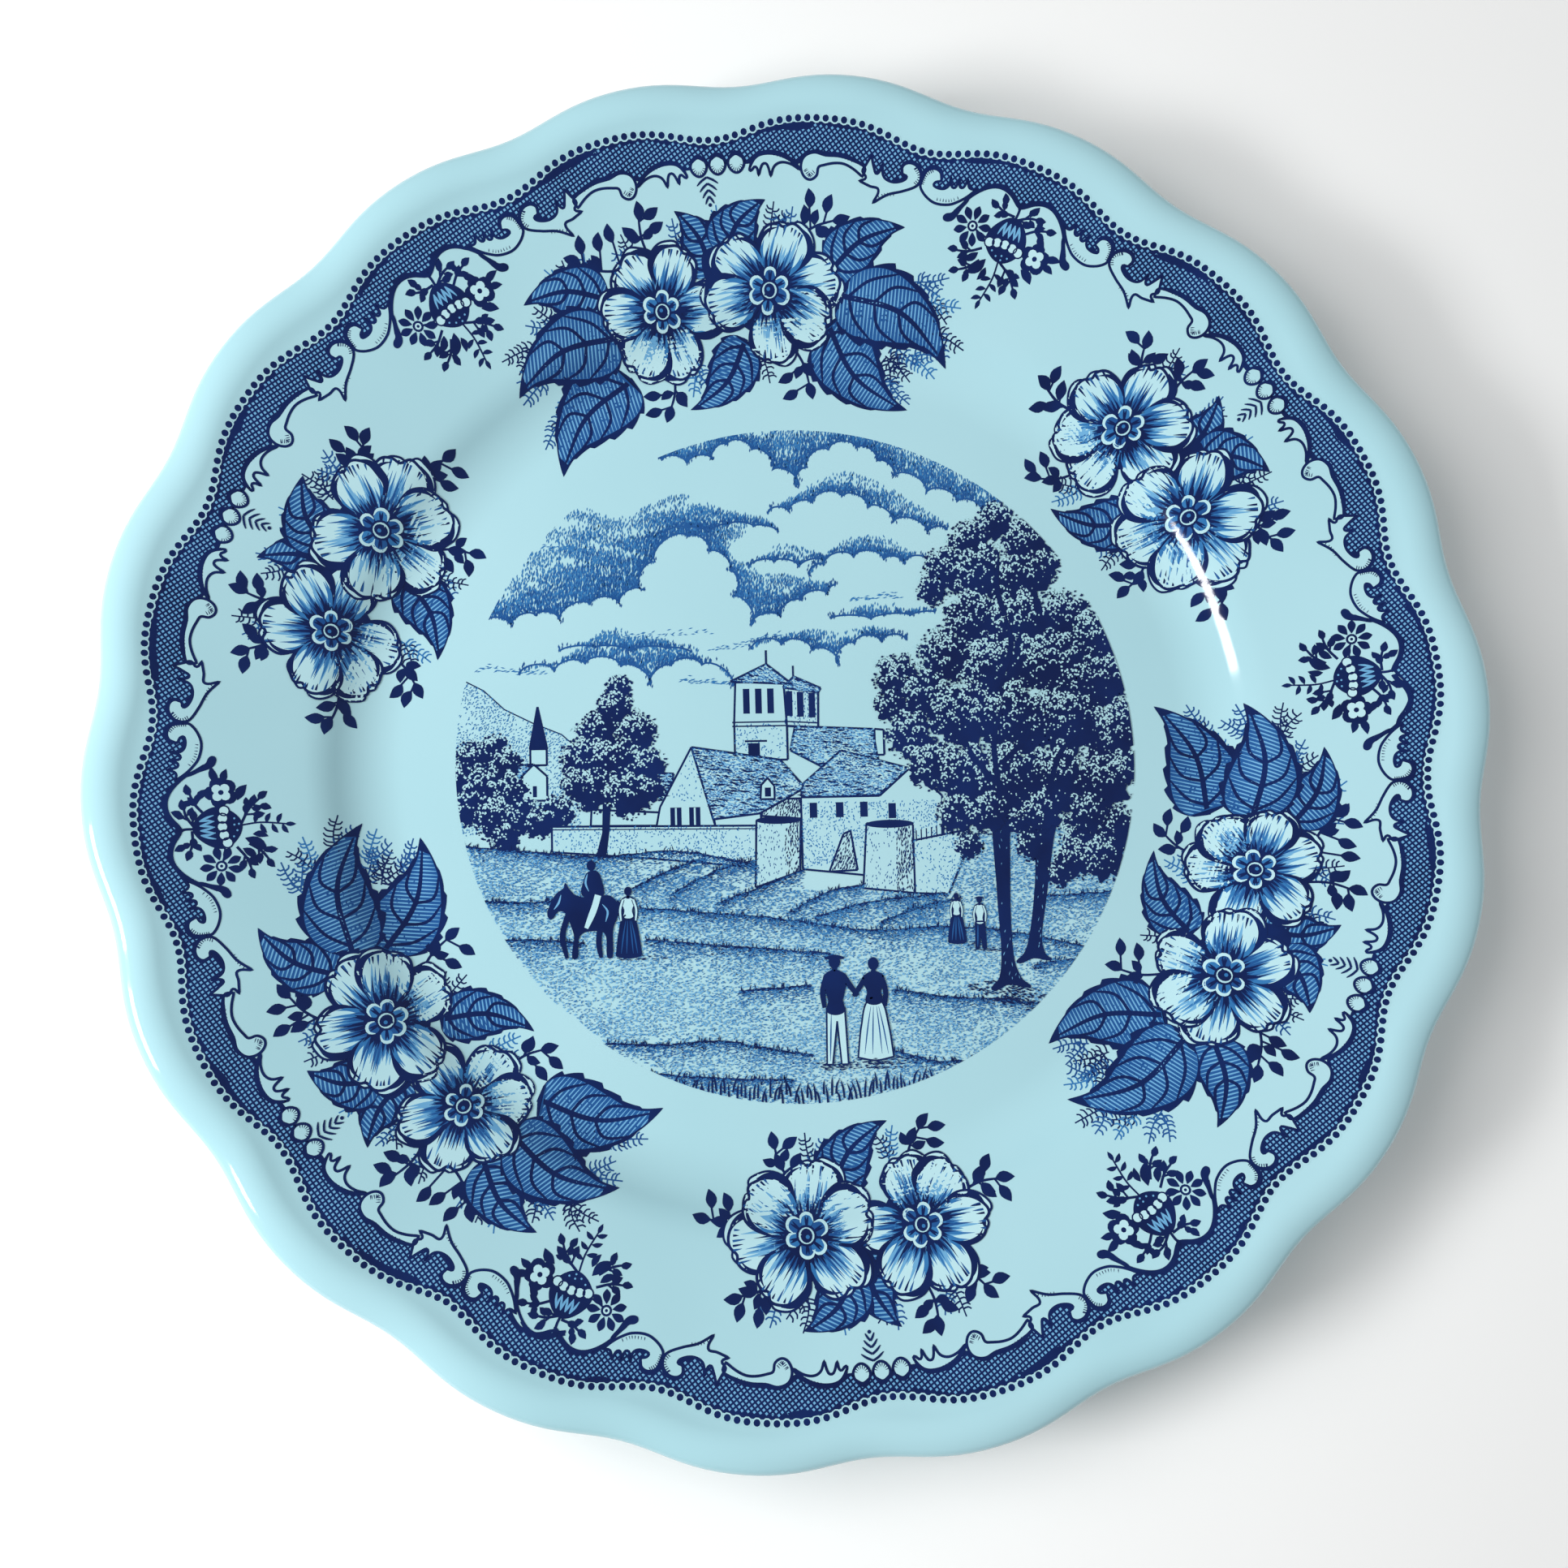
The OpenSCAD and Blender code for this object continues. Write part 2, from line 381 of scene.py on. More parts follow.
def leaf(art, layer, base, tip, width, bend=0.06, slant=75):
    """A toothed leaf with a dark rim, a ruled blade and bold veins, bowed by a share of its length."""
    base, tip = np.asarray(base, float), np.asarray(tip, float)
    teeth, length = 6, np.linalg.norm(tip - base)
    along = unit(tip - base)
    across = left_of(along)

    def at(t, v):
        t, v = np.asarray(t, float), np.asarray(v, float)
        bow = length * (4 * bend * t * (1 - t) - math.copysign(1.1, bend) * np.clip(t - 0.66, 0, 1) ** 2)
        return base + (t * length)[..., None] * along + (v + bow)[..., None] * across

    def half_width(t):
        t = np.asarray(t, float)
        return width * 0.6 * np.clip(np.sin(math.pi * t ** 0.62), 0, 1) ** 0.8 * (1 - 0.35 * t * t)

    t = np.linspace(0, 1, 8 * teeth + 1)
    edge = half_width(t) * (1 + 0.13 * ((t * teeth) % 1 - 0.6))
    patch(art, DARK, layer, np.concatenate([at(t, -edge), at(t, edge)[-2:0:-1]]), 0.8)
    t = np.linspace(0.04, 0.9, 26)
    edge = half_width(t) * (0.9 - 0.2 * t)
    ruled = np.concatenate([at(t, -edge), at(t, edge)[::-1]])
    patch(art, MID, layer + 1, ruled, 0.8)
    hatch(art, LIGHT, layer + 1.8, ruled, math.degrees(math.atan2(along[1], along[0])) + slant, 0.72, 0.3,
          0.1)
    pen(art, DARK, layer + 3.6, [at(0, 0), at(0.5, 0), at(0.95, 0)], 1.0, 1, 0.3, 0.3)
    for i in range(3):
        start = 0.08 + 0.2 * i
        for side in (-1, 1):
            vein = [at(start, 0)]
            for t, share in ((start + 0.1, 0.5), (start + 0.3, 0.86)):
                vein.append(at(t, side * share * half_width(t)))
            pen(art, DARK, layer + 3.4, vein, 0.6, 1, 0.4)


# A petal's outline and its turned-back edge: u runs from the flower's heart to the petal's end, v across it
PETAL = [(0.08, 0), (0.22, -0.34), (0.38, -0.72), (0.55, -0.98), (0.72, -1.0), (0.85, -0.8), (0.92, -0.45),
         (0.9, -0.2), (0.97, 0.1), (0.96, 0.45), (0.86, 0.82), (0.7, 1.0), (0.52, 0.96), (0.36, 0.68),
         (0.22, 0.32)]
PETAL_EDGE = np.array([(0.42, 0.86), (0.56, 1.02), (0.72, 1.04), (0.87, 0.84), (0.96, 0.5)])
# The strokes that feather a petal: tone, lift, how many, how far they reach and how wide they are
FEATHERS = ((LIGHT, 1.2, 11, 0.6, 1.0), (SOFT, 1.4, 10, 0.54, 0.72), (MID, 1.6, 9, 0.5, 0.62),
            (DARK, 1.8, 8, 0.42, 0.56))


def feathering(art, layer, place, side):
    """Strokes of ink out of the flower's heart, down both sides of a petal, and in from its end."""
    for tone, lift, count, far, width in FEATHERS:
        for i in range(count):
            v = -1 + 2 * (i + 0.5) / count
            end = far * (1 - 0.1 * v * v) + rng.choice((-0.08, 0, 0.04, 0.24))
            line = place([(0.16, v * 0.3), (end * 0.62, v * 0.54), (end, v * 0.62)])
            pen(art, tone, layer + lift, line, width, 1, 0.06, 0.1, 0.8)
    for v in (-0.94, -0.86, 0.86, 0.94):
        line = place([(0.3, v * 0.56), (0.46, v * 0.84), (0.64, v * 0.93)])
        pen(art, SOFT, layer + 1.3, line, 0.6, 1, 0.1, 0.2)
    for i in range(8):
        v = (-0.75 + 1.5 * (i + rng.random()) / 8) * side
        start, far = 0.93 - 0.13 * v * v, rng.uniform(0.07, 0.2)
        line = place([(start, v), (start - far, v * 0.93)])
        pen(art, (DARK, MID)[i % 2], layer + 1.4, line, 0.42, 1, 0.1, 0.1)


def petal(art, layer, centre, angle, length):
    """A cupped white petal with a turned-back edge behind it, feathered with ink from the flower's heart."""
    a = math.radians(angle)
    turn = np.array([[math.cos(a), math.sin(a)], [-math.sin(a), math.cos(a)]])
    half = length * (0.74 + rng.uniform(-0.05, 0.05)) / 2
    side = rng.choice((-1, 1))
    shape = np.array([(u + rng.uniform(-0.016, 0.016), side * v + rng.uniform(-0.05, 0.05)) for u,
                      v in PETAL])

    def place(points):
        return np.asarray(points, float) * (length, half) @ turn + centre

    for lift, shift, width in ((0, (0.05, 0.2 * side), 0.44), (0.8, (0, 0), 0.56)):
        outline = curve(place(shape * (1, 0.95) + shift), 0.5, closed=True)
        outlined(art, DARK, layer + lift, outline, width, WHITE, 0.8, 0.4)
    pen(art, DARK, layer + 1.6, place(PETAL_EDGE * (1, side)), 1.3, 0.1, 0.1)
    pen(art, DARK, layer + 2, place(PETAL_EDGE * (0.9, -0.86 * side)), 0.8, 0.1, 0.1)
    feathering(art, layer, place, side)


def flower_heart(art, top, centre, size):
    """Fine spokes, a ring of six curls and the dark eye in the middle of a flower."""
    patch(art, DARK, top, circle(centre, 3.9 * size), 0.8)
    for i in range(34):
        out = polar(2 * math.pi * (i + rng.random()) / 34)
        spoke = [centre + out * 3.7 * size, centre + out * rng.uniform(4.9, 6.4) * size]
        pen(art, DARK, top, spoke, 0.5, 1, 0.1, 0.1)
    for i in range(6):
        a = 60 * i + 20 + rng.uniform(-9, 9)
        out = polar(math.radians(a)) * size
        lobe, curl = centre + out * rng.uniform(2.3, 2.8), rng.uniform(1.05, 1.35) * size
        patch(art, (SOFT, MID)[i % 2], top + 1 + 0.1 * i, circle(lobe, curl, 14), 0.8)
        bow = np.radians(a + rng.uniform(-25, 25) + np.array([-105, -50, 0, 50, 105]))
        pen(art, WHITE, top + 2, lobe + polar(bow) * curl, 0.62, 0.2, 0.2)
        for bend in (-0.35, 0.35):
            tip = lobe + (out @ np.array([[1, bend], [-bend, 1]])) * 0.75
            pen(art, DARK, top + 3, [centre + out * 1.5, tip], 0.4, 1, 0.2)
    patch(art, DARK, top + 3, circle(centre, 1.8 * size, 18), 0.8)
    patch(art, GROUND, top + 4, circle(centre, 1.4 * size, 16), 0.8)
    patch(art, DARK, top + 5, circle(centre, 1.05 * size, 14, 1.15), 0)
    disc(art, SOFT, top + 6, centre + (-0.2, 0.25), 0.36 * size, 8)


def flower(art, layer, centre, petals, size=1.0):
    """An open flower; petals are (angle, length) from the hindmost to the foremost."""
    centre = np.asarray(centre, float)
    patch(art, DARK, layer, circle(centre, 7.6 * size), 0.8)
    for i, (angle, length) in enumerate(petals):
        petal(art, layer + 1 + 3 * i, centre, angle, length)
    flower_heart(art, layer + 3 * len(petals) + 2, centre, size)


def twig(art, layer, root, leaves, length=3.7, width=2.15):
    """A sprig of almond leaves on a thin stem. The first leaf ends the stem; each is given by its middle."""
    root, leaves = np.asarray(root, float), np.asarray(leaves, float)
    stem = leaves[0] - root
    line = curve([root, root + stem / 2 + left_of(stem) * 0.08, leaves[0]], 0.4)
    ribbon(art, DARK, layer, line, swell(len(line), 0.5, 1, 0.6))
    for i, middle in enumerate(leaves):
        nearest = int(np.argmin(np.linalg.norm(line - middle, axis=1)))
        at = nearest - 4 if i else len(line) - 1 - int(0.6 * length / 0.4)
        joint = line[max(0, at)]
        out = (middle - joint) / max(np.linalg.norm(middle - joint), 0.3)
        pen(art, DARK, layer, [joint, middle], 0.4, 1, 1)
        ends = middle - out * length / 2, middle + out * length / 2
        blade(art, DARK, layer + 1, *ends, width, rng.uniform(-0.1, 0.1))
    ahead, joint = unit(stem), line[len(line) // 2]
    for side in (-1, 1):
        out = ahead * 0.6 + left_of(ahead) * side * 0.8
        tip = joint + out * (0.3 + length * 0.8)
        blade(art, DARK, layer + 0.5, joint + out * 0.3, tip, width * 0.85, side * 0.1)


def fern(art, layer, root, tip, tone, pairs=6):
    """A wiry frond of small hooked strokes."""
    stem = tip - root
    ahead = unit(stem)
    across = left_of(ahead)
    line = curve([root, root + stem / 2 + across * rng.uniform(-0.6, 0.6), tip], 0.4)
    ribbon(art, tone, layer, line, 0.27)
    for i in range(pairs):
        for side in (-1, 1):
            joint = line[int((0.12 + 0.82 * (i + 0.3 * side) / pairs) * (len(line) - 1))]
            out, length = across * side, rng.uniform(1.5, 2.1) - 0.12 * i
            hook = [joint, joint + out * length * 0.7 + ahead * 0.1, joint + out * length + ahead * 0.65]
            pen(art, tone, layer, hook, 0.32, 1, 0.8)


def fronds(art, layer, tips):
    """Ferns that stand out of a bouquet on all its sides, given by their tips."""
    heart, length = 91, 7.2
    for i, tip in enumerate(np.asarray(tips, float)):
        towards = unit(np.array([tip[0] * 0.62, heart]) - tip)
        aside = left_of(towards) * rng.choice((-1, 1))
        fern(art, layer, tip + towards * length, tip, (DARK, MID, SOFT)[i % 3])
        side_tip = tip + towards * 2 + aside * 3.4
        fern(art, layer, tip + towards * length * 0.9, side_tip, (MID, DARK)[i % 2], 5)


# Bouquets are drawn on the flat with the sprig of chevrons straight above them: x to the right of its line,
# y outwards from the plate's centre.

def bouquet(tips, leaves, heart_layer, shade_top, twigs, flowers):
    """Two open flowers over a dark gap, with leaves (layer, base, tip, width, ...), sprigs and ferns."""
    art = Drawing()
    fronds(art, 0, tips)
    for row in leaves:
        leaf(art, *row)
    gap = [(-3, 101), (0.5, shade_top), (2.2, 97), (0.6, 91), (-2, 94)]
    patch(art, DARK, heart_layer - 1, curve(gap, 0.5, closed=True), 1.1)
    for root, middles in twigs:
        twig(art, 2, root, middles)
    for row in flowers:
        flower(art, heart_layer, *row)
    return art


def small_bouquet():
    """The bouquet with three leaves."""
    tips = [(-18.4, 109.4), (-5.5, 110.3), (4.4, 110), (12.2, 108.7), (18.2, 107), (-10.3, 73.4),
            (6.8, 72.8)]
    leaves = (
        (3, (-1.4, 96), (-4.4, 110.2), 9, -0.05),
        (7, (1.1, 98.5), (10.6, 109.6), 10.4, 0.08, 100),
        (3, (3.2, 85), (-7.6, 71), 10, 0.06, 100),
    )
    twigs = (
        ((-17, 100), [(-23.8, 105.4), (-25.9, 103.6), (-22.4, 102), (-19.6, 105.4)]),
        ((-11.2, 101), [(-13.2, 110.4), (-15.6, 107.2), (-10.4, 107.6), (-11.2, 110.2)]),
        ((15, 98.5), [(24.3, 100.9), (23.4, 103.6), (20.2, 105), (18.3, 102.9), (21.4, 100)]),
        ((-21, 87.5), [(-30.1, 85.6), (-29.6, 88.4), (-26.6, 87.6), (-25.2, 84.4), (-27.3, 82.6)]),
        ((18.5, 88), [(28.4, 85.9), (25.1, 87.3), (23.4, 83.9), (26.4, 82.9)]),
        ((-11.5, 83), [(-16.4, 73.4), (-18.2, 77.4), (-14, 76), (-18.8, 74.6)]),
        ((10.4, 82), [(13, 73.6), (9.1, 78), (12.4, 77.8), (9.9, 74.4)]),
    )
    flowers = (
        ((-13, 92.3), [(0, 13), (113, 13.3), (-79, 13.2), (55, 13.6), (-127, 13.4), (180, 13)]),
        ((9.1, 91.7), [(-104, 14.2), (3, 15.2), (51, 14), (-44, 14.2), (127, 13.6), (-165, 13.6)], 1.08),
    )
    return bouquet(tips, leaves, 12, 101.5, twigs, flowers)


def large_bouquet():
    """The bouquet between two broad groups of leaves."""
    tips = [(-18.4, 106.6), (-7.9, 108.4), (1.1, 109.8), (12.6, 109), (16.2, 107.6), (-34.3, 101.6),
            (-30, 103), (-39.6, 91.8), (-38.4, 88.5), (-45.2, 85.5), (-42.4, 77.6), (-36.2, 73.9),
            (-34.2, 71), (-39.4, 69), (-8.5, 75.6), (7.3, 76.3), (45.3, 89.8), (46.9, 83.8), (46.6, 76.2),
            (38, 74.9), (40.4, 72.2), (35.4, 72.4), (34.6, 67.9)]
    leaves = (
        (3, (-1.5, 97), (-5.6, 110.2), 9, -0.05),
        (7, (1.4, 100), (9.6, 110.6), 9.8, 0.07, 100),
        (3, (3.7, 85.5), (-7.7, 71.6), 9.4, 0.06, 100),
        (3, (-22.4, 95), (-39, 97.6), 9.8, -0.06, 70),
        (3, (-20, 80.6), (-38.6, 65.4), 13.4, -0.07, 60),
        (8, (-21.6, 88.2), (-43.8, 81.6), 12.6, -0.07, 70),
        (3, (21.6, 94.6), (36.8, 102.4), 9.8, 0.06, 100),
        (3, (20.4, 86), (31.3, 65.4), 13, -0.06, 110),
        (8, (23, 90.4), (44.6, 76.4), 13.4, 0.08, 110),
    )
    twigs = (
        ((-18, 100), [(-28.6, 102.6), (-26.6, 105.4), (-22.8, 105.6), (-24.4, 101.4), (-20.4, 107)]),
        ((-12.6, 100), [(-14.4, 110.4), (-16.4, 106.8), (-11.4, 107.2), (-12, 109.8)]),
        ((14.9, 101), [(25.4, 104), (23.4, 107), (19.6, 108.6), (18.2, 105.8), (22, 102.4)]),
        ((-11.6, 82), [(-13.8, 72.8), (-16.6, 77), (-10.8, 75.4), (-16.8, 73.6)]),
        ((12.4, 84), [(15.2, 73.6), (10.6, 77), (15.4, 78), (11, 73.4)]),
    )
    flowers = (
        ((-12.3, 91.8), [(0, 12.6), (125, 12.6), (-72, 12.8), (65, 12.6), (-125, 12.8), (180, 12.4)]),
        ((9.5, 93.1), [(-94, 13.2), (4, 14.4), (63, 13.2), (-37, 13.8), (131, 13.2), (-171, 13.4)], 1.05),
    )
    return bouquet(tips, leaves, 14, 102, twigs, flowers)


def posy_bud(art):
    """The round bud that hangs from a short stalk, with a row of white beads round its middle."""
    pen(art, DARK, 1, [(-0.1, 117.7), (0.1, 116), (0, 114.6)], 0.5, 1, 1)
    outline = [(0, 114.9), (2.6, 113.4), (3.9, 110.4), (2.6, 107.6), (0.2, 106.2), (-2.6, 107.3),
               (-4.2, 109.8), (-2.8, 113.1)]
    patch(art, DARK, 2, curve(outline, 0.4, closed=True), 0.8)
    for x in (-1.6, -0.5, 0.6, 1.7):
        for side in (-1, 1):
            line = [(x * 0.8, 113.6), (x + side * 0.3, 112.1), (x + side * 0.6, 111)]
            pen(art, LIGHT, 4, line, 0.42, 0.4, 0.3)
    for x in (-3.1, -1.6, 0, 1.6, 3):
        outlined(art, DARK, 4, circle((x, 109.7 - 0.06 * x * x), 0.95, 12), 0.28, WHITE, 0.8)
    for dot in ((-2, 107.9), (-0.9, 107.2), (0.2, 107.6), (1.4, 107.5), (0.3, 106.8)):
        disc(art, LIGHT, 4, dot, 0.2, 6)


def posy_flowers(art):
    """A daisy to the left of the bud, and a small five-petalled flower to its right."""
    centre = np.array([-7.4, 110.6])
    pen(art, DARK, 0, [(-3.4, 109.6), (-5.4, 109.9), centre], 0.35, 1, 1)
    for i in range(9):
        out = polar(math.radians(40 * i + 12))
        blade(art, DARK, 1, centre + out * 1.15, centre + out * 3.8, 1.5, 0, 0.6, 0.4)
    for layer, (tone, radius, sides) in enumerate(((DARK, 1.05, 12), (WHITE, 0.62, 10), (DARK, 0.3, 8)), 1):
        disc(art, tone, layer, centre, radius, sides)
    centre = np.array([6.5, 109.3])
    for i in range(5):
        patch(art, DARK, 1, circle(centre + polar(math.radians(72 * i + 90)) * 1.6, 1.4, 12), 0.8)
    for i in range(4):
        disc(art, WHITE, 3, centre + polar(math.radians(90 * i + 45)), 0.86, 10)
    disc(art, DARK, 4, centre, 0.5, 8)


def posy_trail(art):
    """The sprig that hangs below the bud, with small leaves on either side in turn."""
    pen(art, DARK, 1, [(0, 106.4), (0.2, 103), (-0.6, 98)], 0.34, 1, 0.8)
    joints = ((0.15, 104), (0, 103), (-0.05, 102), (-0.2, 101), (-0.3, 100), (-0.4, 99.2))
    for i, (x, y) in enumerate(joints):
        side = (1, -1)[i % 2]
        blade(art, DARK, 2, (x, y), (x + side * 1.9, y - 0.9), 0.9, side * 0.1, 0.5, 0.4)
    blade(art, DARK, 2, (-0.5, 98.8), (-0.7, 96.8), 0.9)


def posy():
    """The small bunch of flowers in a cartouche, drawn on the flat like the bouquets."""
    art = Drawing()
    posy_bud(art)
    for root, leaves in (((-0.3, 115), [(-4.8, 116), (-3.4, 117.3), (-2.6, 114.9)]),
                         ((0.4, 114.6), [(4.7, 116.1), (3, 117.3), (2.6, 114.6)]),
                         ((2.6, 112.6), [(7.5, 114.9), (5.2, 114.5), (6.4, 112.6)]),
                         ((0.3, 106.4), [(5.3, 102.1), (3.2, 105.2), (4.6, 104), (1.9, 103.2), (3, 101.9)])):
        twig(art, 1, root, leaves, 2.3, 1.45)
    posy_flowers(art)
    for root, tip, width in (((8.4, 109.6), (11.6, 110.5), 1.5), ((8.2, 108.6), (10.9, 107.9), 1.4),
                             ((4.8, 106.6), (7.6, 104.7), 1.8), ((-4.4, 106.6), (-6.8, 104.4), 1.5),
                             ((-2.5, 106), (-5.4, 102.3), 1.9), ((-1.9, 104.6), (-2.6, 101.9), 1.3)):
        blade(art, DARK, 2, root, tip, width, 0.1)
    posy_trail(art)
    for root, leaves in (((-4, 107.6), [(-9.3, 105.3), (-7.6, 106.9), (-7.2, 105)]),
                         ((-3.6, 105.4), [(-7.6, 101.9), (-6.6, 103.9), (-5, 101.6)])):
        twig(art, 1, root, leaves, 2.2, 1.4)
    return art


# ---------------------------------------------------------------- the border: band, beads and scrollwork

SHEET_START = (6.4, 126.6, 245.8)
SCROLL_R = 110.0
BAND_LOBES = 18


def bead_row(a):
    """Radius of the row of beads; a is counted from the start of a sheet, in degrees."""
    p = np.radians(BAND_LOBES * a)
    return 123.2 + 1.7 * np.cos(p) - 0.3 * np.cos(2 * p)


# The scrollwork is drawn for half a bouquet's width. s runs from the sprig of chevrons towards the
# cartouche, in millimetres along a circle of SCROLL_R, and r is the distance from the plate's centre.
BAND_INNER = [(0, 116.9), (1, 116.9), (6, 116.6), (9, 117.4), (12, 117.3), (14.6, 116.3), (16.5, 117.2),
              (20, 117.6), (24, 117), (27.4, 115.9), (30, 115), (33, 114.6), (36, 115.8), (38.3, 115.5),
              (41, 115.2), (44, 115.4), (47, 116), (48.8, 116.6), (50.2, 117.8), (52, 118.8),
              (53.8, 118.95), (55.5, 118.3), (56.9, 117.2), (57.7, 116.9)]
ARCH_LEAF = [(6.05, 116), (7.4, 117.8), (9.6, 118.3), (11.9, 117.9), (14.1, 116.7), (15.4, 115.4),
             (15.4, 115.4), (13.7, 116.4), (11.9, 116.7), (10.6, 116), (9.9, 114.2), (9.9, 114.2),
             (9.2, 116.4), (8.4, 116.4), (7.6, 114.4), (7.6, 114.4), (7.1, 116), (6.05, 115.3)]
KNOB = [(27.6, 116.6), (25.4, 117.6), (22.7, 118.2), (20, 118.2), (18, 118.6), (16.2, 117.8), (15.6, 116),
        (16.2, 114.3), (17.4, 113.7), (18.6, 114.5), (18.9, 116), (19.8, 116.4), (21.8, 116.9),
        (23.6, 116.9), (25.4, 116.2), (27.3, 115), (27.3, 115)]
ACANTHUS = [(37.7, 115), (35.3, 113.6), (32.6, 112.5), (30, 110.6), (30, 110.6), (30.7, 113.1),
            (29, 113.5), (26.8, 114.2), (26.8, 114.2), (28, 114.9), (27.2, 116), (27.7, 117.2),
            (28.5, 119), (28.5, 119), (29.2, 117), (30, 115.9), (30.7, 117.8), (30.7, 117.8),
            (31.3, 115.6), (33, 114.9), (34.9, 115.4), (35.6, 116.3), (34.7, 116.7), (34.4, 118),
            (35.3, 118.9), (36.8, 118.8), (38, 117.6), (38.2, 116.2)]
C_SCROLL = [(38.5, 116), (38.9, 118), (40.3, 118.8), (41.6, 118.3), (42, 117), (41.1, 116.5),
            (40.9, 115.8), (42.6, 115.6), (43.6, 116.4), (43.6, 118.1), (43.6, 118.1), (44.6, 116.3),
            (45.2, 118.3), (45.2, 118.3), (46, 116.7), (46.8, 118.5), (46.8, 118.5), (47.5, 117.1),
            (48.8, 117.3), (48.8, 117.3), (47.6, 115.6), (46.3, 114.3), (44.6, 113.2), (42, 112.8),
            (39.9, 113.6), (38.5, 115)]
ARCH_LINE = [(57.9, 116.6), (56.9, 117.1), (55.5, 118.2), (53.8, 118.9), (52, 118.8), (50.2, 117.8),
             (48.4, 116), (47.2, 114.2), (45.9, 112.3)]
CLUB = [(48, 115.6), (46.8, 114), (45.5, 112), (44.6, 111.6), (44.1, 110.9), (44.5, 110.2), (45.6, 110.3),
        (46.4, 111), (47.2, 113)]


def from_arc(points):
    """Points given as (s, r) on the flat, with the sprig at the top."""
    s, r = np.asarray(points, float).T
    return polar(math.pi / 2 + s / SCROLL_R, r)


# Where the curls and leaves are shaded: a curve, how many strokes and how long they are
SHADED_CURLS = (
    ([(16.2, 115.2), (17.3, 114.1), (18.4, 115)], 9, 0.8),
    ([(36.6, 117.9), (37.6, 116.6), (37, 115.4)], 9, 0.9),
    ([(39, 115.6), (39.3, 117.2), (40.4, 118.2)], 9, 0.9),
    ([(10.6, 117.9), (12.6, 117.3), (14, 116.4)], 7, 0.55),
    ([(33.6, 113.1), (31.8, 112.6), (30.7, 111.9)], 6, 0.7),
    ([(20.2, 117.9), (22.8, 117.9), (25.2, 117.3)], 9, 0.5),
    ([(42.2, 113.3), (44.5, 113.6), (46.2, 114.7)], 8, 0.6),
)


def shading_lines(art, points, count, length):
    """Short fine strokes that shade the inside of a curl, each from a point of a curve towards the left."""
    line = curve(points, 0.2)
    for i in np.linspace(0, len(line) - 2, count).astype(int):
        inward = unit(left_of(line[i + 1] - line[i]))
        pen(art, DARK, 9, [line[i], line[i] + inward * length], 0.16, 1.0, 0.2)


def half_scrolls():
    """The scrollwork on one side of a sprig."""
    art = Drawing()
    for outline in (ARCH_LEAF, KNOB, ACANTHUS, C_SCROLL):
        outlined(art, DARK, 6, curve(outline, 0.35, closed=True), 0.5)
    for outline in (ARCH_LEAF[:6], KNOB[:6], C_SCROLL[:5]):
        pen(art, DARK, 8, [(s, r + 0.2) for s, r in outline], 0.95, 0.5, 0.5)
    pen(art, DARK, 8, ACANTHUS[22:], 0.8, 0.5, 0.5)
    patch(art, DARK, 8, curve(CLUB, 0.4, closed=True))
    pen(art, DARK, 8, ARCH_LINE, 0.5, 0.9, 0.8)
    pen(art, DARK, 8, [(s, r + 0.3) for s, r in ARCH_LINE[:6]], 1.0, 0.9, 0.4)
    for row in SHADED_CURLS:
        shading_lines(art, *row)
    return art.bent(from_arc)


def ball(art, s):
    """One of the white balls between the two halves, with its shaded side."""
    r = 116.9
    outline = curve([(s - 1.5, r), (s, r + 1.75), (s + 1.5, r), (s, r - 1.75)], 0.3, closed=True)
    outlined(art, DARK, 9, outline, 0.5)
    pen(art, DARK, 11, [(s - 1.45, r + 0.7), (s, r + 1.8), (s + 1.45, r + 0.7)], 0.9, 0.4, 0.4)
    for i in range(8):
        out = polar(math.radians(200 + 21 * i))
        pen(art, DARK, 11, [out * (1.4, 1.6) + (s, r), out * (0.7, 0.8) + (s, r)], 0.16, 1, 0.2)


def balls():
    """The three balls where the two halves meet."""
    art = Drawing()
    for s in (-3.5, 0, 3.5):
        ball(art, s)
    return art.bent(from_arc)


def chevrons():
    """The small fir-like sprig under the balls."""
    art = Drawing()
    for i in range(4):
        top, half = 114.9 - 1.15 * i, 2.1 - 0.42 * i
        for side in (-1, 1):
            line = [(0, top), (side * half * 0.55, top - 0.6), (side * half, top - 1.35)]
            pen(art, DARK, 13, line, 0.42, 1, 0.4)
    disc(art, DARK, 13, (0, 109.9), 0.35)
    return art


def strip(art, tone, layer, inner, outer):
    """A wide strip between two lines with the same number of points."""
    rows, n = 5, len(inner)
    share = np.linspace(0, 1, rows)[:, None, None]
    points = (inner + (outer - inner) * share).reshape(-1, 2)
    i = (np.arange(rows - 1)[:, None] * n + np.arange(n - 1)).ravel()
    faces = np.concatenate([np.stack([i, i + n, i + n + 1], 1), np.stack([i, i + n + 1, i + 1], 1)])
    art.add(tone, layer, points, faces)


def on_circle(a, r):
    """Points of the plan at angles in degrees and radii."""
    return polar(np.radians(a), r)


def band_inner(a):
    """Lower edge of the band, which the scrollwork hides; a is in degrees from the start of a sheet."""
    half = curve(BAND_INNER, 0.5)
    away = np.abs(np.asarray(a) % 60 - 30)
    return np.interp(away, np.degrees(half[:, 0] / SCROLL_R), half[:, 1])


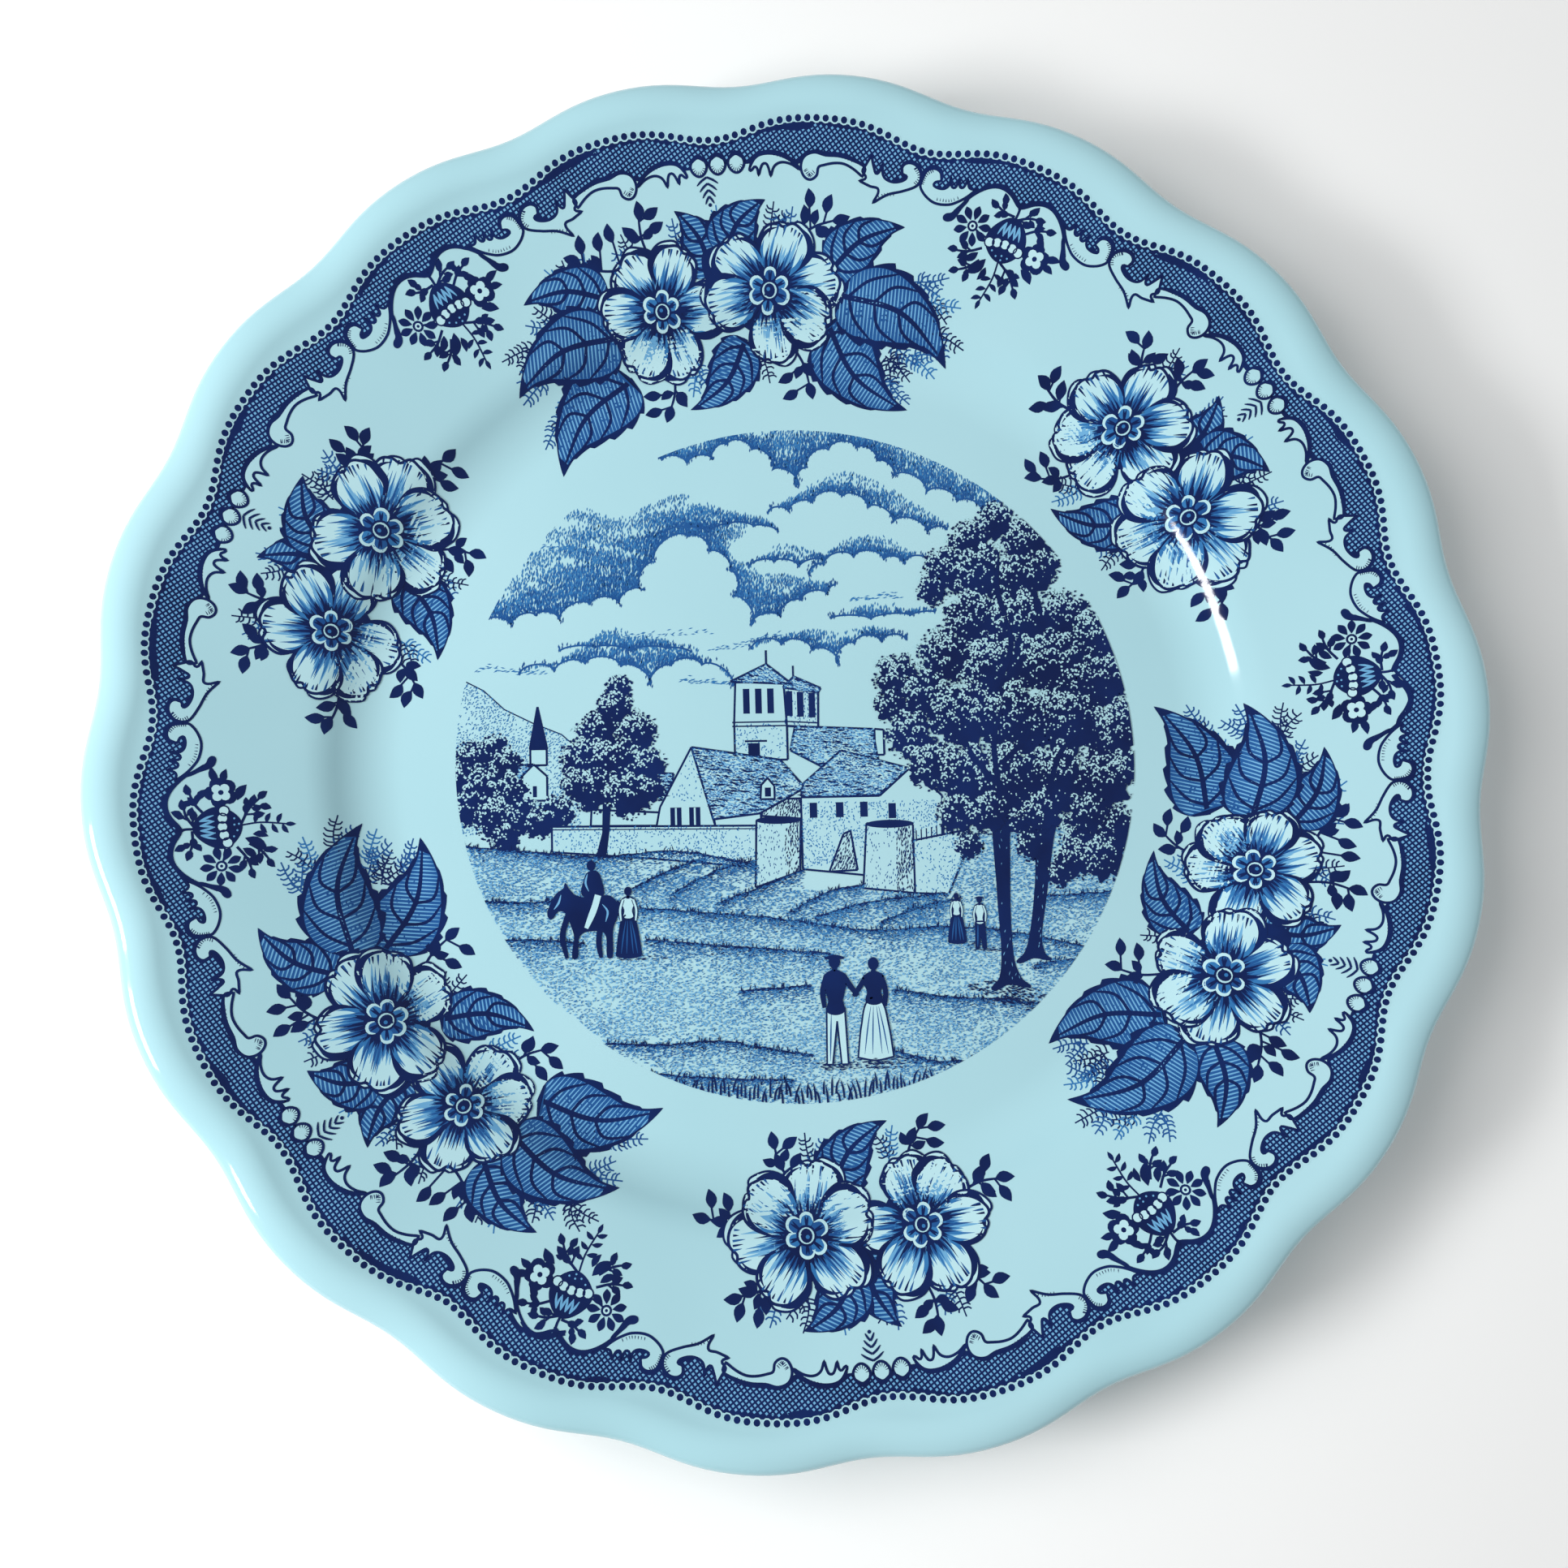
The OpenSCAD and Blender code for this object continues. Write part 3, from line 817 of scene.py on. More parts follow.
def crosshatch(art, start, first, last):
    """Light squares between the ruled lines, which run one way all over the plate."""
    pitch, side, ruling = 0.8, 0.44, math.radians(36 - start)
    across = np.arange(-128, 128, pitch)
    gx, gy = np.meshgrid(across, across)
    c, s = math.cos(ruling), math.sin(ruling)
    x, y = (c * gx - s * gy).ravel(), (s * gx + c * gy).ravel()
    r = np.hypot(x, y)
    angle = (np.degrees(np.arctan2(y, x)) - first) % 360 + first
    kept = (angle < last) & (r > band_inner(angle) + 0.7) & (r < bead_row(angle) - 1.12)
    centres = np.stack([x[kept], y[kept]], 1)
    corner = side / 2 * np.array([[c + s, s - c], [c - s, s + c], [-c - s, c - s], [s - c, -s - c]])
    points = (centres[:, None, :] + corner[None]).reshape(-1, 2)
    i = np.arange(len(centres)) * 4
    faces = np.concatenate([np.stack([i, i + 1, i + 2], 1), np.stack([i, i + 2, i + 3], 1)])
    art.add(LIGHT, 2, points, faces)


def beads(art, first, last):
    """The row of beads outside the band, each in a small light hollow of the band's cusped edge."""
    count = 24 * BAND_LOBES // 3
    for i in range(count):
        a = first + (last - first) * (i + 0.5) / count
        r = bead_row(a)
        disc(art, GROUND, 1, on_circle(a, r + 0.15), 0.92, 10)
        disc(art, DARK, 3, on_circle(a, r + 0.15), 0.64, 10)


def border_sheet(start, width):
    """All that one sheet of the border prints. It is cut at the dip before its first cartouche."""
    art = Drawing()
    first, last = -10, width - 10
    a = np.linspace(first, last, 480)
    strip(art, DARK, 0, on_circle(a, band_inner(a)), on_circle(a, bead_row(a) - 0.45))
    crosshatch(art, start, first, last)
    beads(art, first, last)
    scrolls = half_scrolls().packed()
    three_balls, sprig = balls().packed(), chevrons().packed()
    for middle, sprig_at in ((30, 29.4), (90, 91.2)):
        art.put(scrolls, middle - 90)
        art.put(scrolls, middle - 90, flip=True)
        art.put(three_balls, middle - 90)
        art.put(sprig, sprig_at - 90)
    for cartouche in (0, 60):
        art.put(posy().packed(), cartouche - 90)
    art.put(small_bouquet().packed(), 29.4 - 90)
    art.put(large_bouquet().packed(), 91.2 - 90)
    return art


# ---------------------------------------------------------------- the picture in the well

PICTURE_MIDDLE, PICTURE_R = np.array([0.6, -0.4]), 67.2
dice = np.random.default_rng(5)


def marks(art, tone, layer, centres, shapes):
    """Many small convex marks at once; shapes holds the corners of each about its own middle."""
    n = shapes.shape[1]
    points = (centres[:, None] + shapes).reshape(-1, 2)
    fan = np.array([(0, k, k + 1) for k in range(1, n - 1)])
    faces = (np.arange(len(centres))[:, None, None] * n + fan).reshape(-1, 3)
    art.add(tone, layer, points, faces)
    art.shapes[-1][2][:] += np.repeat(np.arange(len(centres)) % 9, n) * 0.1 * LAYER


def stipple(art, tone, layer, centres, sizes):
    """Uneven ink dots."""
    count = len(centres)
    a = dice.uniform(0, 6.28, (count, 1)) + np.arange(5) * 2 * math.pi / 5
    r = np.broadcast_to(sizes, count)[:, None] * dice.uniform(0.65, 1.2, (count, 5))
    marks(art, tone, layer, centres, polar(a, r))


def ticks(art, tone, layer, centres, lengths, widths, angles):
    """Short pointed strokes; angles are in degrees."""
    a = np.radians(np.broadcast_to(angles, len(centres)))
    u = np.stack([np.cos(a), np.sin(a)], 1) * np.broadcast_to(lengths, len(centres))[:, None] / 2
    v = np.stack([-np.sin(a), np.cos(a)], 1) * np.broadcast_to(widths, len(centres))[:, None] / 2
    marks(art, tone, layer, centres, np.stack([-u, -v, u, v], 1))


def scattered(outline, pitch):
    """Points about a pitch apart inside an outline, in no visible rows."""
    low, high = outline.min(0), outline.max(0)
    gx, gy = np.meshgrid(np.arange(low[0], high[0], pitch), np.arange(low[1], high[1], pitch))
    points = np.stack([gx.ravel(), gy.ravel()], 1)
    points += dice.uniform(-0.5, 0.5, points.shape) * pitch
    return points[inside(outline, points)]


def drift(points, size):
    """A smooth uneven value from 0 to 1, in patches about a size across."""
    x, y = points.T / size
    wave = np.sin(2.1 * x + 1.7 * np.sin(1.3 * y + 0.4)) + np.sin(2.3 * y + 1.9 * np.sin(1.1 * x + 2.2))
    return 0.5 + 0.25 * wave


def reach(points, line):
    """Distance from each point to a line of points."""
    return np.hypot(points[:, None, 0] - line[None, :, 0], points[:, None, 1] - line[None, :, 1]).min(1)


def texture(art, tone, layer, outline, pitch, cover, length, width, angle, wobble=10, patchy=4.0):
    """Ink strokes in one direction over part of an outline."""
    points = scattered(np.asarray(outline, float), pitch)
    points = points[dice.random(len(points)) < cover * (0.4 + 1.2 * drift(points, patchy))]
    count = len(points)
    lengths = length * dice.uniform(0.6, 1.3, count)
    widths = width * dice.uniform(0.7, 1.2, count)
    ticks(art, tone, layer, points, lengths, widths, angle + dice.normal(0, wobble, count))


def billows(cusps, bulge=0.34):
    """A line of round billows between cusps, that swell to the left of the line."""
    cusps = np.asarray(cusps, float)
    made = []
    for start, end in zip(cusps[:-1], cusps[1:]):
        span = end - start
        t = np.linspace(0, math.pi, 9)[:-1, None]
        made.append(start + span * (1 - np.cos(t)) / 2 + left_of(span) * bulge * np.sin(t))
    return np.concatenate(made + [cusps[-1:]])


def cloud(art, cusps, top, weight, bulge):
    """The shaded side of a cloud: upright strokes, dense over the billows below it and thin above."""
    edge, crest = billows(cusps, bulge), curve(top, 1.0)
    points = scattered(np.concatenate([edge, crest[::-1]]), 0.36)
    to_edge, to_crest = reach(points, edge), reach(points, crest)
    depth = to_crest / (to_edge + to_crest)
    wisps = drift(points * (0.45, 1.5), 2.2)
    kept = dice.random(len(points)) < weight * (depth ** 0.5 * 0.75 + 0.75 * wisps - 0.28)
    points, depth = points[kept], depth[kept]
    ticks(art, SOFT, 1, points, 0.75 + 0.45 * depth, 0.24 + 0.18 * depth, dice.normal(84, 10, len(points)))
    deep = points[dice.random(len(points)) < 0.9 * depth ** 1.8]
    ticks(art, MID, 2, deep, 1.0, 0.26, dice.normal(84, 10, len(deep)))
    ribbon(art, MID, 2, edge, 0.36)
    fringe = edge[dice.integers(0, len(edge), len(edge) * 3)] + np.array([0, 0.4])
    fringe = fringe + dice.normal(0, 0.3, fringe.shape)
    ticks(art, MID, 2, fringe, 0.9, 0.3, dice.normal(84, 12, len(fringe)))


def rule(art, layer, points, width=0.3, tone=DARK):
    """Straight lines from point to point."""
    for start, end in zip(points[:-1], points[1:]):
        ribbon(art, tone, layer, [start, end], width)


def block(art, layer, corners, fill=GROUND, width=0.42):
    """A flat side of a building."""
    patch(art, fill, layer, corners, 0)
    rule(art, layer + 1, list(corners) + [corners[0]], width)


def windows(art, layer, places, wide, high):
    """Dark openings, given by their middles."""
    corners = np.array([(-wide, -high), (wide, -high), (wide, high), (-wide, high)]) / 2
    for place in places:
        patch(art, DARK, layer, corners + place, 0)


def roof(art, layer, corners, angle):
    """A tiled roof: ruled outline, rows of dark tile edges and fine shading."""
    texture(art, LIGHT, layer + 1, corners, 0.5, 1.0, 0.8, 0.42, angle, 12, 5)
    texture(art, MID, layer + 1.5, corners, 0.42, 0.95, 0.6, 0.26, angle, 20, 3)
    texture(art, DARK, layer + 2, corners, 0.85, 0.42, 1.7, 0.36, angle, 4, 3)
    block(art, layer, corners, GROUND, 0.46)


def masonry(art, layer, corners, cover):
    """Speckled plaster."""
    texture(art, SOFT, layer, corners, 0.48, cover * 1.3, 0.55, 0.27, 80, 40, 3)


def crown(art, layer, clumps):
    """The leaves of a tree in dark ragged clumps, the hindmost first, with light on their upper left."""
    for i, (x, y, radius) in enumerate(clumps):
        middle, over = np.array([x, y]), layer + i + 0.5

        def lit(points):
            return ((points - middle) / radius) @ np.array([-0.45, 0.8])

        a = np.linspace(0, 2 * math.pi, 60, endpoint=False)
        ragged = 0.1 * np.sin(5 * a + x) + 0.08 * np.sin(9 * a + y) + 0.06 * np.sin(17 * a + x * y)
        outline = middle + polar(a, radius * (1 + ragged))
        patch(art, DARK, layer + i, (outline - middle) * 0.93 + middle, 0)
        points = scattered(outline, 0.5)
        chance = 0.14 + 0.8 * lit(points) + 1.3 * (drift(points, 0.8) - 0.5)
        points = points[dice.random(len(points)) < np.clip(chance, 0.02, 0.9)]
        stipple(art, GROUND, over, points, 0.19 + 0.1 * lit(points))
        tufts = scattered(outline, 1.5)
        tufts = tufts[dice.random(len(tufts)) < 0.25 + 0.8 * lit(tufts)]
        for turn in np.radians((15, 55, 95, 135, 175)):
            spread = turn + dice.normal(0, 0.15, len(tufts))
            ticks(art, GROUND, over, tufts + polar(spread) * 0.62, 0.62, 0.34, np.degrees(spread) + 70)
        out = dice.uniform(0, 2 * math.pi, int(radius * 16))
        far = radius * dice.uniform(0.9, 1.15, len(out))
        stipple(art, DARK, over, middle + polar(out, far), dice.uniform(0.13, 0.34, len(out)))


def hedge(art, layer, points):
    """The edge of a field: an uneven line with grass on it, and shading below."""
    line = curve(points, 0.5)
    line[:, 1] += dice.normal(0, 0.07, len(line))
    ribbon(art, DARK, layer, line, 0.32 + 0.28 * drift(line, 2.5))
    along = dice.integers(0, len(line), len(line) * 2 // 3)
    tall = dice.uniform(0.5, 1.5, len(along))
    tufts = line[along] + np.stack([dice.uniform(-0.2, 0.2, len(along)), tall * 0.4], 1)
    ticks(art, DARK, layer, tufts, tall, 0.24, dice.normal(88, 16, len(along)))
    for tone, each, depth in ((SOFT, 10, 2.4), (MID, 4, 2.4 * 0.4), (DARK, 3, 2.4 * 0.25)):
        count = len(line) * each
        along = dice.integers(0, len(line), count)
        shift = np.stack([dice.uniform(-0.4, 0.4, count), -dice.exponential(depth, count)], 1)
        ticks(art, tone, layer, line[along] + shift, 0.55, 0.22, dice.normal(0, 20, count))


def sky(art):
    """Banks of cloud with white billows under them."""
    cloud(art, [(-31, 60.2), (-25, 60.8), (-20, 59.8), (-14.8, 60.8), (-12, 64), (-7, 62.8), (-3, 58.5),
                (2.2, 54.8), (4.2, 59), (8.6, 62.6), (14.2, 63), (18.2, 60.2), (21.5, 57), (28, 53.4),
                (34.2, 51.5), (39.2, 49.4), (44.5, 50.6)],
          [(-30, 60.8), (-22, 64.4), (-13, 67), (-2, 68.2), (10, 68), (20, 65.4), (29, 61.6), (37, 57),
           (44, 52.8)], 1.3, 0.3)
    cloud(art, [(-61.2, 28), (-55.4, 27.4), (-50.6, 29.5), (-45.8, 28.3), (-39.8, 31.6), (-34, 31.6),
                (-29.5, 34.4), (-26.8, 40), (-20, 45.2), (-16, 42), (-12, 38.2), (-11.6, 32.8), (-8, 26.8),
                (-2, 28.4), (2.2, 31.8), (7.6, 32.8), (9.2, 34.8)],
          [(-57, 34.4), (-51.5, 42), (-47, 48.4), (-42, 51.4), (-34.8, 49.8), (-28, 51.6), (-21, 53.8),
           (-15, 50.6), (-8, 47.4), (-12, 42), (-7, 39), (0, 37), (9.2, 35.2)], 1.3, 0.28)
    cloud(art, [(-4, 49.8), (0.2, 49.8), (5, 51.6), (11, 53), (16, 50.6), (21, 47.4), (28, 45), (32, 45.8)],
          [(-3, 50.4), (4, 55.2), (12, 58), (20, 55), (27, 50.6), (32.6, 46.8)], 1.2, 0.3)
    cloud(art, [(4, 36.8), (7, 39), (13, 40.4), (19, 39.8), (23, 39), (28, 39.4)],
          [(4.5, 37.4), (10, 43.4), (18, 45), (24, 42), (28, 40.2)], 1.1, 0.3)
    cloud(art, [(-54, 17.6), (-47, 18.2), (-41, 19.6), (-34, 19), (-28.2, 15), (-24, 19), (-18, 19),
                (-12, 14.6)], [(-53, 18.2), (-45, 21.2), (-36, 26.8), (-29, 25), (-20, 23), (-12, 16)], 1.2,
          0.26)
    cloud(art, [(-8, 22), (-2, 22.8), (4, 21.6), (9.2, 18.6), (12.6, 23), (18, 23), (23, 23.4)],
          [(-7, 22.6), (2, 25.8), (10, 25.2), (17, 26.4), (23, 24)], 1.2, 0.3)
    cloud(art, [(-25, 45.8), (-20, 46.8), (-16, 45.8), (-12, 47.4), (-7, 47), (-2, 45.8)],
          [(-24.4, 47), (-19, 52.4), (-12, 50.4), (-6, 49.4), (-1.6, 46.8)], 0.8, 0.16)
    cloud(art, [(-8, 38.8), (-3, 39.8), (2, 38.6), (7, 39.8)],
          [(-7, 39.8), (-2, 43.4), (4, 42.4), (7.6, 40.8)], 0.8, 0.2)
    cloud(art, [(-46, 22.2), (-39, 22.8), (-32, 22), (-25, 22.4), (-20, 21.6)],
          [(-45.4, 22.8), (-36, 25.4), (-28, 25), (-20, 22.4)], 0.7, 0.12)
    cloud(art, [(8, 28), (16, 27.8), (24, 28.4), (29, 29)], [(9, 28.6), (16, 31), (23, 30.6), (29, 29.6)],
          0.9, 0.1)
    for left, right in (((-62, 19.2), (-49, 18)), ((-39, 25), (-16, 25.8)), ((-16, 22), (-2, 25.2)),
                        ((12, 32), (22, 32.8)), ((-49, 43.4), (-39, 42.8)), ((-22, 16), (-13, 15.4))):
        span = np.linspace(left, right, 40) + dice.normal(0, 0.35, (40, 2))
        ticks(art, SOFT, 1, span, 1.0, 0.24, dice.normal(10, 12, 40))


def far_hill(art):
    """A wooded hill with a small church in front of it."""
    hill = [(-64.4, 16.4), (-61, 14.6), (-57, 10.8), (-51.5, 8), (-45.8, 5.6), (-42, 2), (-42, -14),
            (-66.5, -14), (-67, 8)]
    texture(art, SOFT, 3, hill, 0.5, 0.95, 0.55, 0.24, 50, 30, 5)
    rule(art, 3, hill[:6], 0.24)
    block(art, 5, [(-52, -0.4), (-52, 3), (-48.8, 3), (-48.8, -0.4)])
    block(art, 5, [(-52.1, 2.8), (-50.5, 11.2), (-48.7, 2.8)], DARK)
    block(art, 5, [(-53.8, -7.4), (-53.6, -2.4), (-51.4, -0.2), (-48.8, -2.6), (-48.8, -7.4)])
    roof(art, 5, [(-56, -2.8), (-54.4, -0.4), (-51.4, -0.2), (-53.6, -2.4)], 0)
    windows(art, 7, [(-51.2, -5.6)], 0.8, 2.2)
    crown(art, 8, [(-63.4, 1.4, 3), (-59.2, 2.6, 3.2), (-56.8, 0, 3), (-65, -3.2, 2.8), (-60.8, -4, 4),
                   (-56.2, -5.6, 3.6), (-63.8, -8.6, 3.4), (-59, -10.6, 4.2), (-53.8, -10.2, 3.4),
                   (-50.5, -11.8, 3), (-47, -10, 3.4), (-57, -14.8, 2.8)])


def tower(art):
    """The square tower with its open top storey, and a tiled house with a chimney beside it."""
    block(art, 24, [(-11.8, -0.2), (-11.8, 7.5), (-11.4, 15.4), (-1.8, 15.4), (-1.4, 7.5), (-1.4, -0.2)])
    block(art, 24, [(-1.4, 6.5), (-1.8, 14.6), (5, 13.4), (4.8, 6)])
    masonry(art, 25, [(-11.8, -0.2), (-11.8, 7), (-1.4, 7), (-1.4, -0.2)], 0.3)
    texture(art, MID, 25, [(-1.8, 6.5), (-1.8, 14.4), (4.8, 13.2), (4.8, 6)], 0.5, 0.5, 0.6, 0.26, 90, 10, 3)
    roof(art, 26, [(-2, 14.2), (0.2, 16.4), (5.5, 14), (5, 13.2)], -15)
    roof(art, 26, [(-12.4, 15.6), (-5.2, 19), (0.2, 14.6), (-1.6, 15)], -15)
    rule(art, 27, [(-5.2, 18.8), (-5.2, 21.8)], 0.4)
    rule(art, 27, [(0.1, 16.2), (0.1, 18.6)], 0.34)
    for y in (7.4, 6.6):
        rule(art, 26, [(-12.2, y), (-1.2, y), (5, y - 0.4)], 0.3)
    windows(art, 27, [(-9.3, 11.6), (-6.9, 11.6), (-4.5, 11.6), (-0.8, 11), (1.4, 10.8), (3.7, 10.6)], 1.3,
            5)
    windows(art, 27, [(-8, 1.8)], 2.3, 2.8)
    rule(art, 27, [(-9.8, 3.6), (-5.4, 3.6)], 0.4)
    roof(art, 28, [(-0.8, 1.6), (0.2, 6.4), (15.6, 5.6), (16.6, -1), (8, -3.2)], -4)
    block(art, 28, [(16, 0.4), (16, 5.6), (17.8, 5.4), (17.8, 0.4)])


def fields(art):
    """Grass, ruts and hedges in front of the town."""
    ground = np.array([(-65.8, -16.6), (-39, -19), (-8, -26), (14, -26.4), (29, -28), (34, -16), (68.4, -14),
                       (67.6, -22), (61, -38), (48, -52), (33, -61), (28, -66), (-2, -68), (-20, -65),
                       (-38, -55), (-50, -45), (-61, -28)])
    texture(art, LIGHT, 50, ground, 0.55, 0.72, 0.7, 0.34, 0, 25, 7)
    texture(art, SOFT, 51, ground, 0.6, 0.5, 0.55, 0.24, 0, 40, 5)
    texture(art, SOFT, 51, ground[ground[:, 1] > -42], 0.5, 0.45, 0.6, 0.24, 0, 20, 6)
    for points in ([(-65.4, -16.2), (-52, -17.6), (-39, -18.8), (-24, -18), (-8, -21)],
                   [(-61.2, -27), (-53, -27.4), (-42, -27)], [(-58.6, -34.6), (-50, -34.8), (-42, -35.6)],
                   [(-31, -29), (-16, -30.4), (-2, -32), (14, -34.4), (28, -34), (41, -35.2), (57, -38.8)],
                   [(-30, -35.2), (-20, -36.2), (-8, -37.4), (6, -38.8)],
                   [(-25, -26.4), (-16, -22), (-8.6, -20)], [(-32, -24.8), (-25, -21.6), (-18, -19.4)],
                   [(-16, -28.4), (-8, -25.6), (1, -22.2)], [(3, -31.6), (13, -29), (29, -27.4)],
                   [(16, -32.8), (24, -30), (32, -28.4)], [(-2, -30.6), (6, -26.6), (13, -25.4)],
                   [(18, -46), (29, -47.8), (38, -48.4), (48, -49.6)],
                   [(-12, -45.6), (-4, -45.2), (2, -44.8)],
                   [(-38.2, -55), (-27, -55.6), (-16, -55.2), (-6, -57), (2, -58.4)],
                   [(18, -58), (26, -60.2), (33.2, -60.2)], [(48, -28.4), (56, -28.2), (63, -27.8)],
                   [(46, -42), (52, -41.2), (59, -40.6)], [(-30, -61), (-16, -62.4), (-2, -63)]):
        hedge(art, 54, points)
    for x in np.arange(-25, 26, 0.8):
        y = -63.2 - 2.2 * math.sin((x + 25) / 51 * math.pi) + dice.uniform(-1.2, 1.2)
        lean = dice.uniform(-1.4, 1.4)
        grass = [(x, y - 1.6), (x + lean * 0.3, y + 0.2), (x + lean, y + dice.uniform(1, 2.4))]
        pen(art, DARK, 55, grass, 0.4, 1, 0.15)


def small_tree(art):
    """The tree before the town, on its short trunk."""
    crown(art, 52, [(-34.4, 14.8, 2.4), (-35.4, 10.8, 3.4), (-38.8, 5.8, 4), (-31.2, 5.6, 4), (-42, 0.4, 4),
                    (-35.2, -0.4, 5.2), (-29, -1, 3.4), (-40.2, -5.6, 4.2), (-33.2, -6.4, 4.6),
                    (-28.4, -5.6, 2.6), (-43.6, -4.4, 2.4)])
    trunk = [(-39.4, -18.4), (-38.2, -14), (-38, -8), (-36.4, -8), (-36.8, -14), (-37.4, -18.4)]
    patch(art, DARK, 60, trunk, 0)


def two_trunks(art):
    """The trunks of the tall tree, with light bark, and the shadow at their feet."""
    shadow = [(32, -45.6), (40, -44), (50, -48), (49, -51.8), (41, -50)]
    texture(art, DARK, 60, shadow, 0.5, 0.8, 1.1, 0.36, -12, 10, 4)
    for trunk in ([(39.2, -6), (42.4, -6), (42.2, -18), (41.8, -32), (42.2, -41), (43.6, -44.6),
                   (45.2, -46.2), (41, -45.6), (37.4, -46.6), (39, -44.2), (39.6, -39), (39.2, -28)],
                  [(48.6, -6), (52.8, -6), (50.8, -18), (48.8, -30), (47.8, -36.6), (48.4, -39.8),
                   (49.6, -41), (46, -40.6), (42.6, -41.4), (44.2, -39.4), (45.4, -35.6), (46.8, -26)]):
        patch(art, DARK, 61, curve(trunk, 0.8, closed=True), 0)
        middle = np.mean(trunk, 0)
        bark = (np.array(trunk) - middle) * (0.6, 0.9) + middle
        texture(art, LIGHT, 62, bark, 0.7, 0.16, 0.8, 0.16, 84, 14, 2)


def tall_tree(art):
    """The tall tree on the right: its trunks, its leaves from behind to the front, and its boughs."""
    two_trunks(art)
    crown(art, 63, [(57.6, -16, 5.2), (63.2, -15.2, 4.4), (55, -21, 4), (61, -21, 4.6), (34, -18, 2.6),
                    (45.8, -13, 4), (46.4, -18, 3), (52, -24, 2.6)])
    crown(art, 66, [(42, 47.4, 3.8), (36.6, 43, 4.2), (48, 43.2, 4.8), (31.6, 37.4, 4.6), (51, 38, 3.4),
                    (39, 37, 5.8), (46.4, 35.4, 5.6), (28.4, 33.2, 2.8), (55, 27.4, 5.4), (61, 22.8, 5.6),
                    (65.2, 16, 4.4), (37, 27.4, 6.2), (46, 26.2, 6.6), (31, 20, 5.6), (59, 13, 6.6),
                    (52, 18, 6.8), (41, 17.2, 7), (21, 16, 4.4), (26.6, 12, 5.2), (19.4, 10, 3.2),
                    (66.4, 7, 3.6), (63, 3, 6), (23, 4.4, 4.6), (54, 6, 7), (44, 6.6, 7.4), (34, 8, 7),
                    (27, -2, 4.8), (66.4, -3, 3.4), (61, -6, 5.8), (52, -5, 6.6), (34, -4, 6.2),
                    (43, -5, 6.8), (58, -12, 4), (32, -11.6, 3.8), (38, -11.6, 4), (49, -11.6, 4)])
    for bough in ([(40.6, -8), (39.8, 2), (41.6, 10)], [(41, -2), (46, 3), (47.6, 7)],
                  [(43, 28), (41.6, 34), (42.2, 40)], [(42, 16), (44, 22), (43.2, 28)],
                  [(50.2, -8), (53, 0), (57, 4)], [(40.2, -6), (36, -1), (34, 3)]):
        pen(art, DARK, 104, bough, 1.1, 1, 0.3)


def figure(art, x, foot, tall, skirt, dark_top=True, hand=0):
    """A small standing figure seen from behind, without any features; x and foot place it, in millimetres."""
    top, lower = (DARK, WHITE) if dark_top else (WHITE, DARK)

    def at(points):
        return [(x + u * tall, foot + v * tall) for u, v in points]

    if skirt:
        hem = 0.54
        outline = [(-0.17, 0.02), (-0.17, 0.02), (-0.13, 0.32), (-0.06, 0.56), (0.06, 0.56), (0.13, 0.32),
                   (0.17, 0.02), (0.17, 0.02), (0, -0.01)]
        block(art, 107, curve(at(outline), 0.5, closed=True), lower, 0.34)
        for u in (-0.07, -0.02, 0.04, 0.08):
            pen(art, MID, 108, at([(u * 0.5, 0.5), (u, 0.3), (u * 1.5, 0.05)]), 0.26)
    else:
        hem = 0.46
        outline = [(-0.09, 0), (-0.08, 0.5), (0.08, 0.5), (0.1, 0), (0.04, 0), (0.01, 0.38), (-0.04, 0)]
        block(art, 107, at(outline), lower, 0.34)
        pen(art, MID, 108, at([(-0.04, 0.45), (-0.05, 0.25), (-0.06, 0.03)]), 0.3)
    coat = at([(-0.07, hem), (-0.06, hem + 0.1), (-0.1, 0.76), (-0.04, 0.82), (0.04, 0.82), (0.1, 0.76),
               (0.06, hem + 0.1), (0.07, hem)])
    block(art, 108, curve(coat, 0.4, closed=True), top, 0.3)
    for side in (-1, 1):
        elbow, wrist = ((0.14, 0.68), (0.2, 0.6)) if side == hand else ((0.11, 0.65), (0.1, 0.5))
        sleeve = at([(side * 0.07, 0.79), (side * elbow[0], elbow[1]), (side * wrist[0], wrist[1])])
        pen(art, DARK, 109, sleeve, 0.05 * tall, 1, 0.7)
        if not dark_top:
            pen(art, WHITE, 110, sleeve, 0.028 * tall, 1, 0.7)
    pen(art, DARK, 109, at([(0, 0.8), (0, 0.88)]), 0.045 * tall, 1, 1)
    patch(art, DARK, 110, circle(at([(0, 0.905)])[0], 0.052 * tall, 14, 1.2), 0)
    if not skirt:
        pen(art, DARK, 110, at([(-0.085, 0.935), (0, 0.95), (0.085, 0.935)]), 0.035 * tall, 0.6, 0.6)
    shade = at([(-0.2, 0.02), (0.5, 0.02), (0.6, -0.05), (-0.1, -0.05)])
    texture(art, DARK, 106, shade, 0.45, 0.7, 0.9, 0.26, 0, 8, 4)


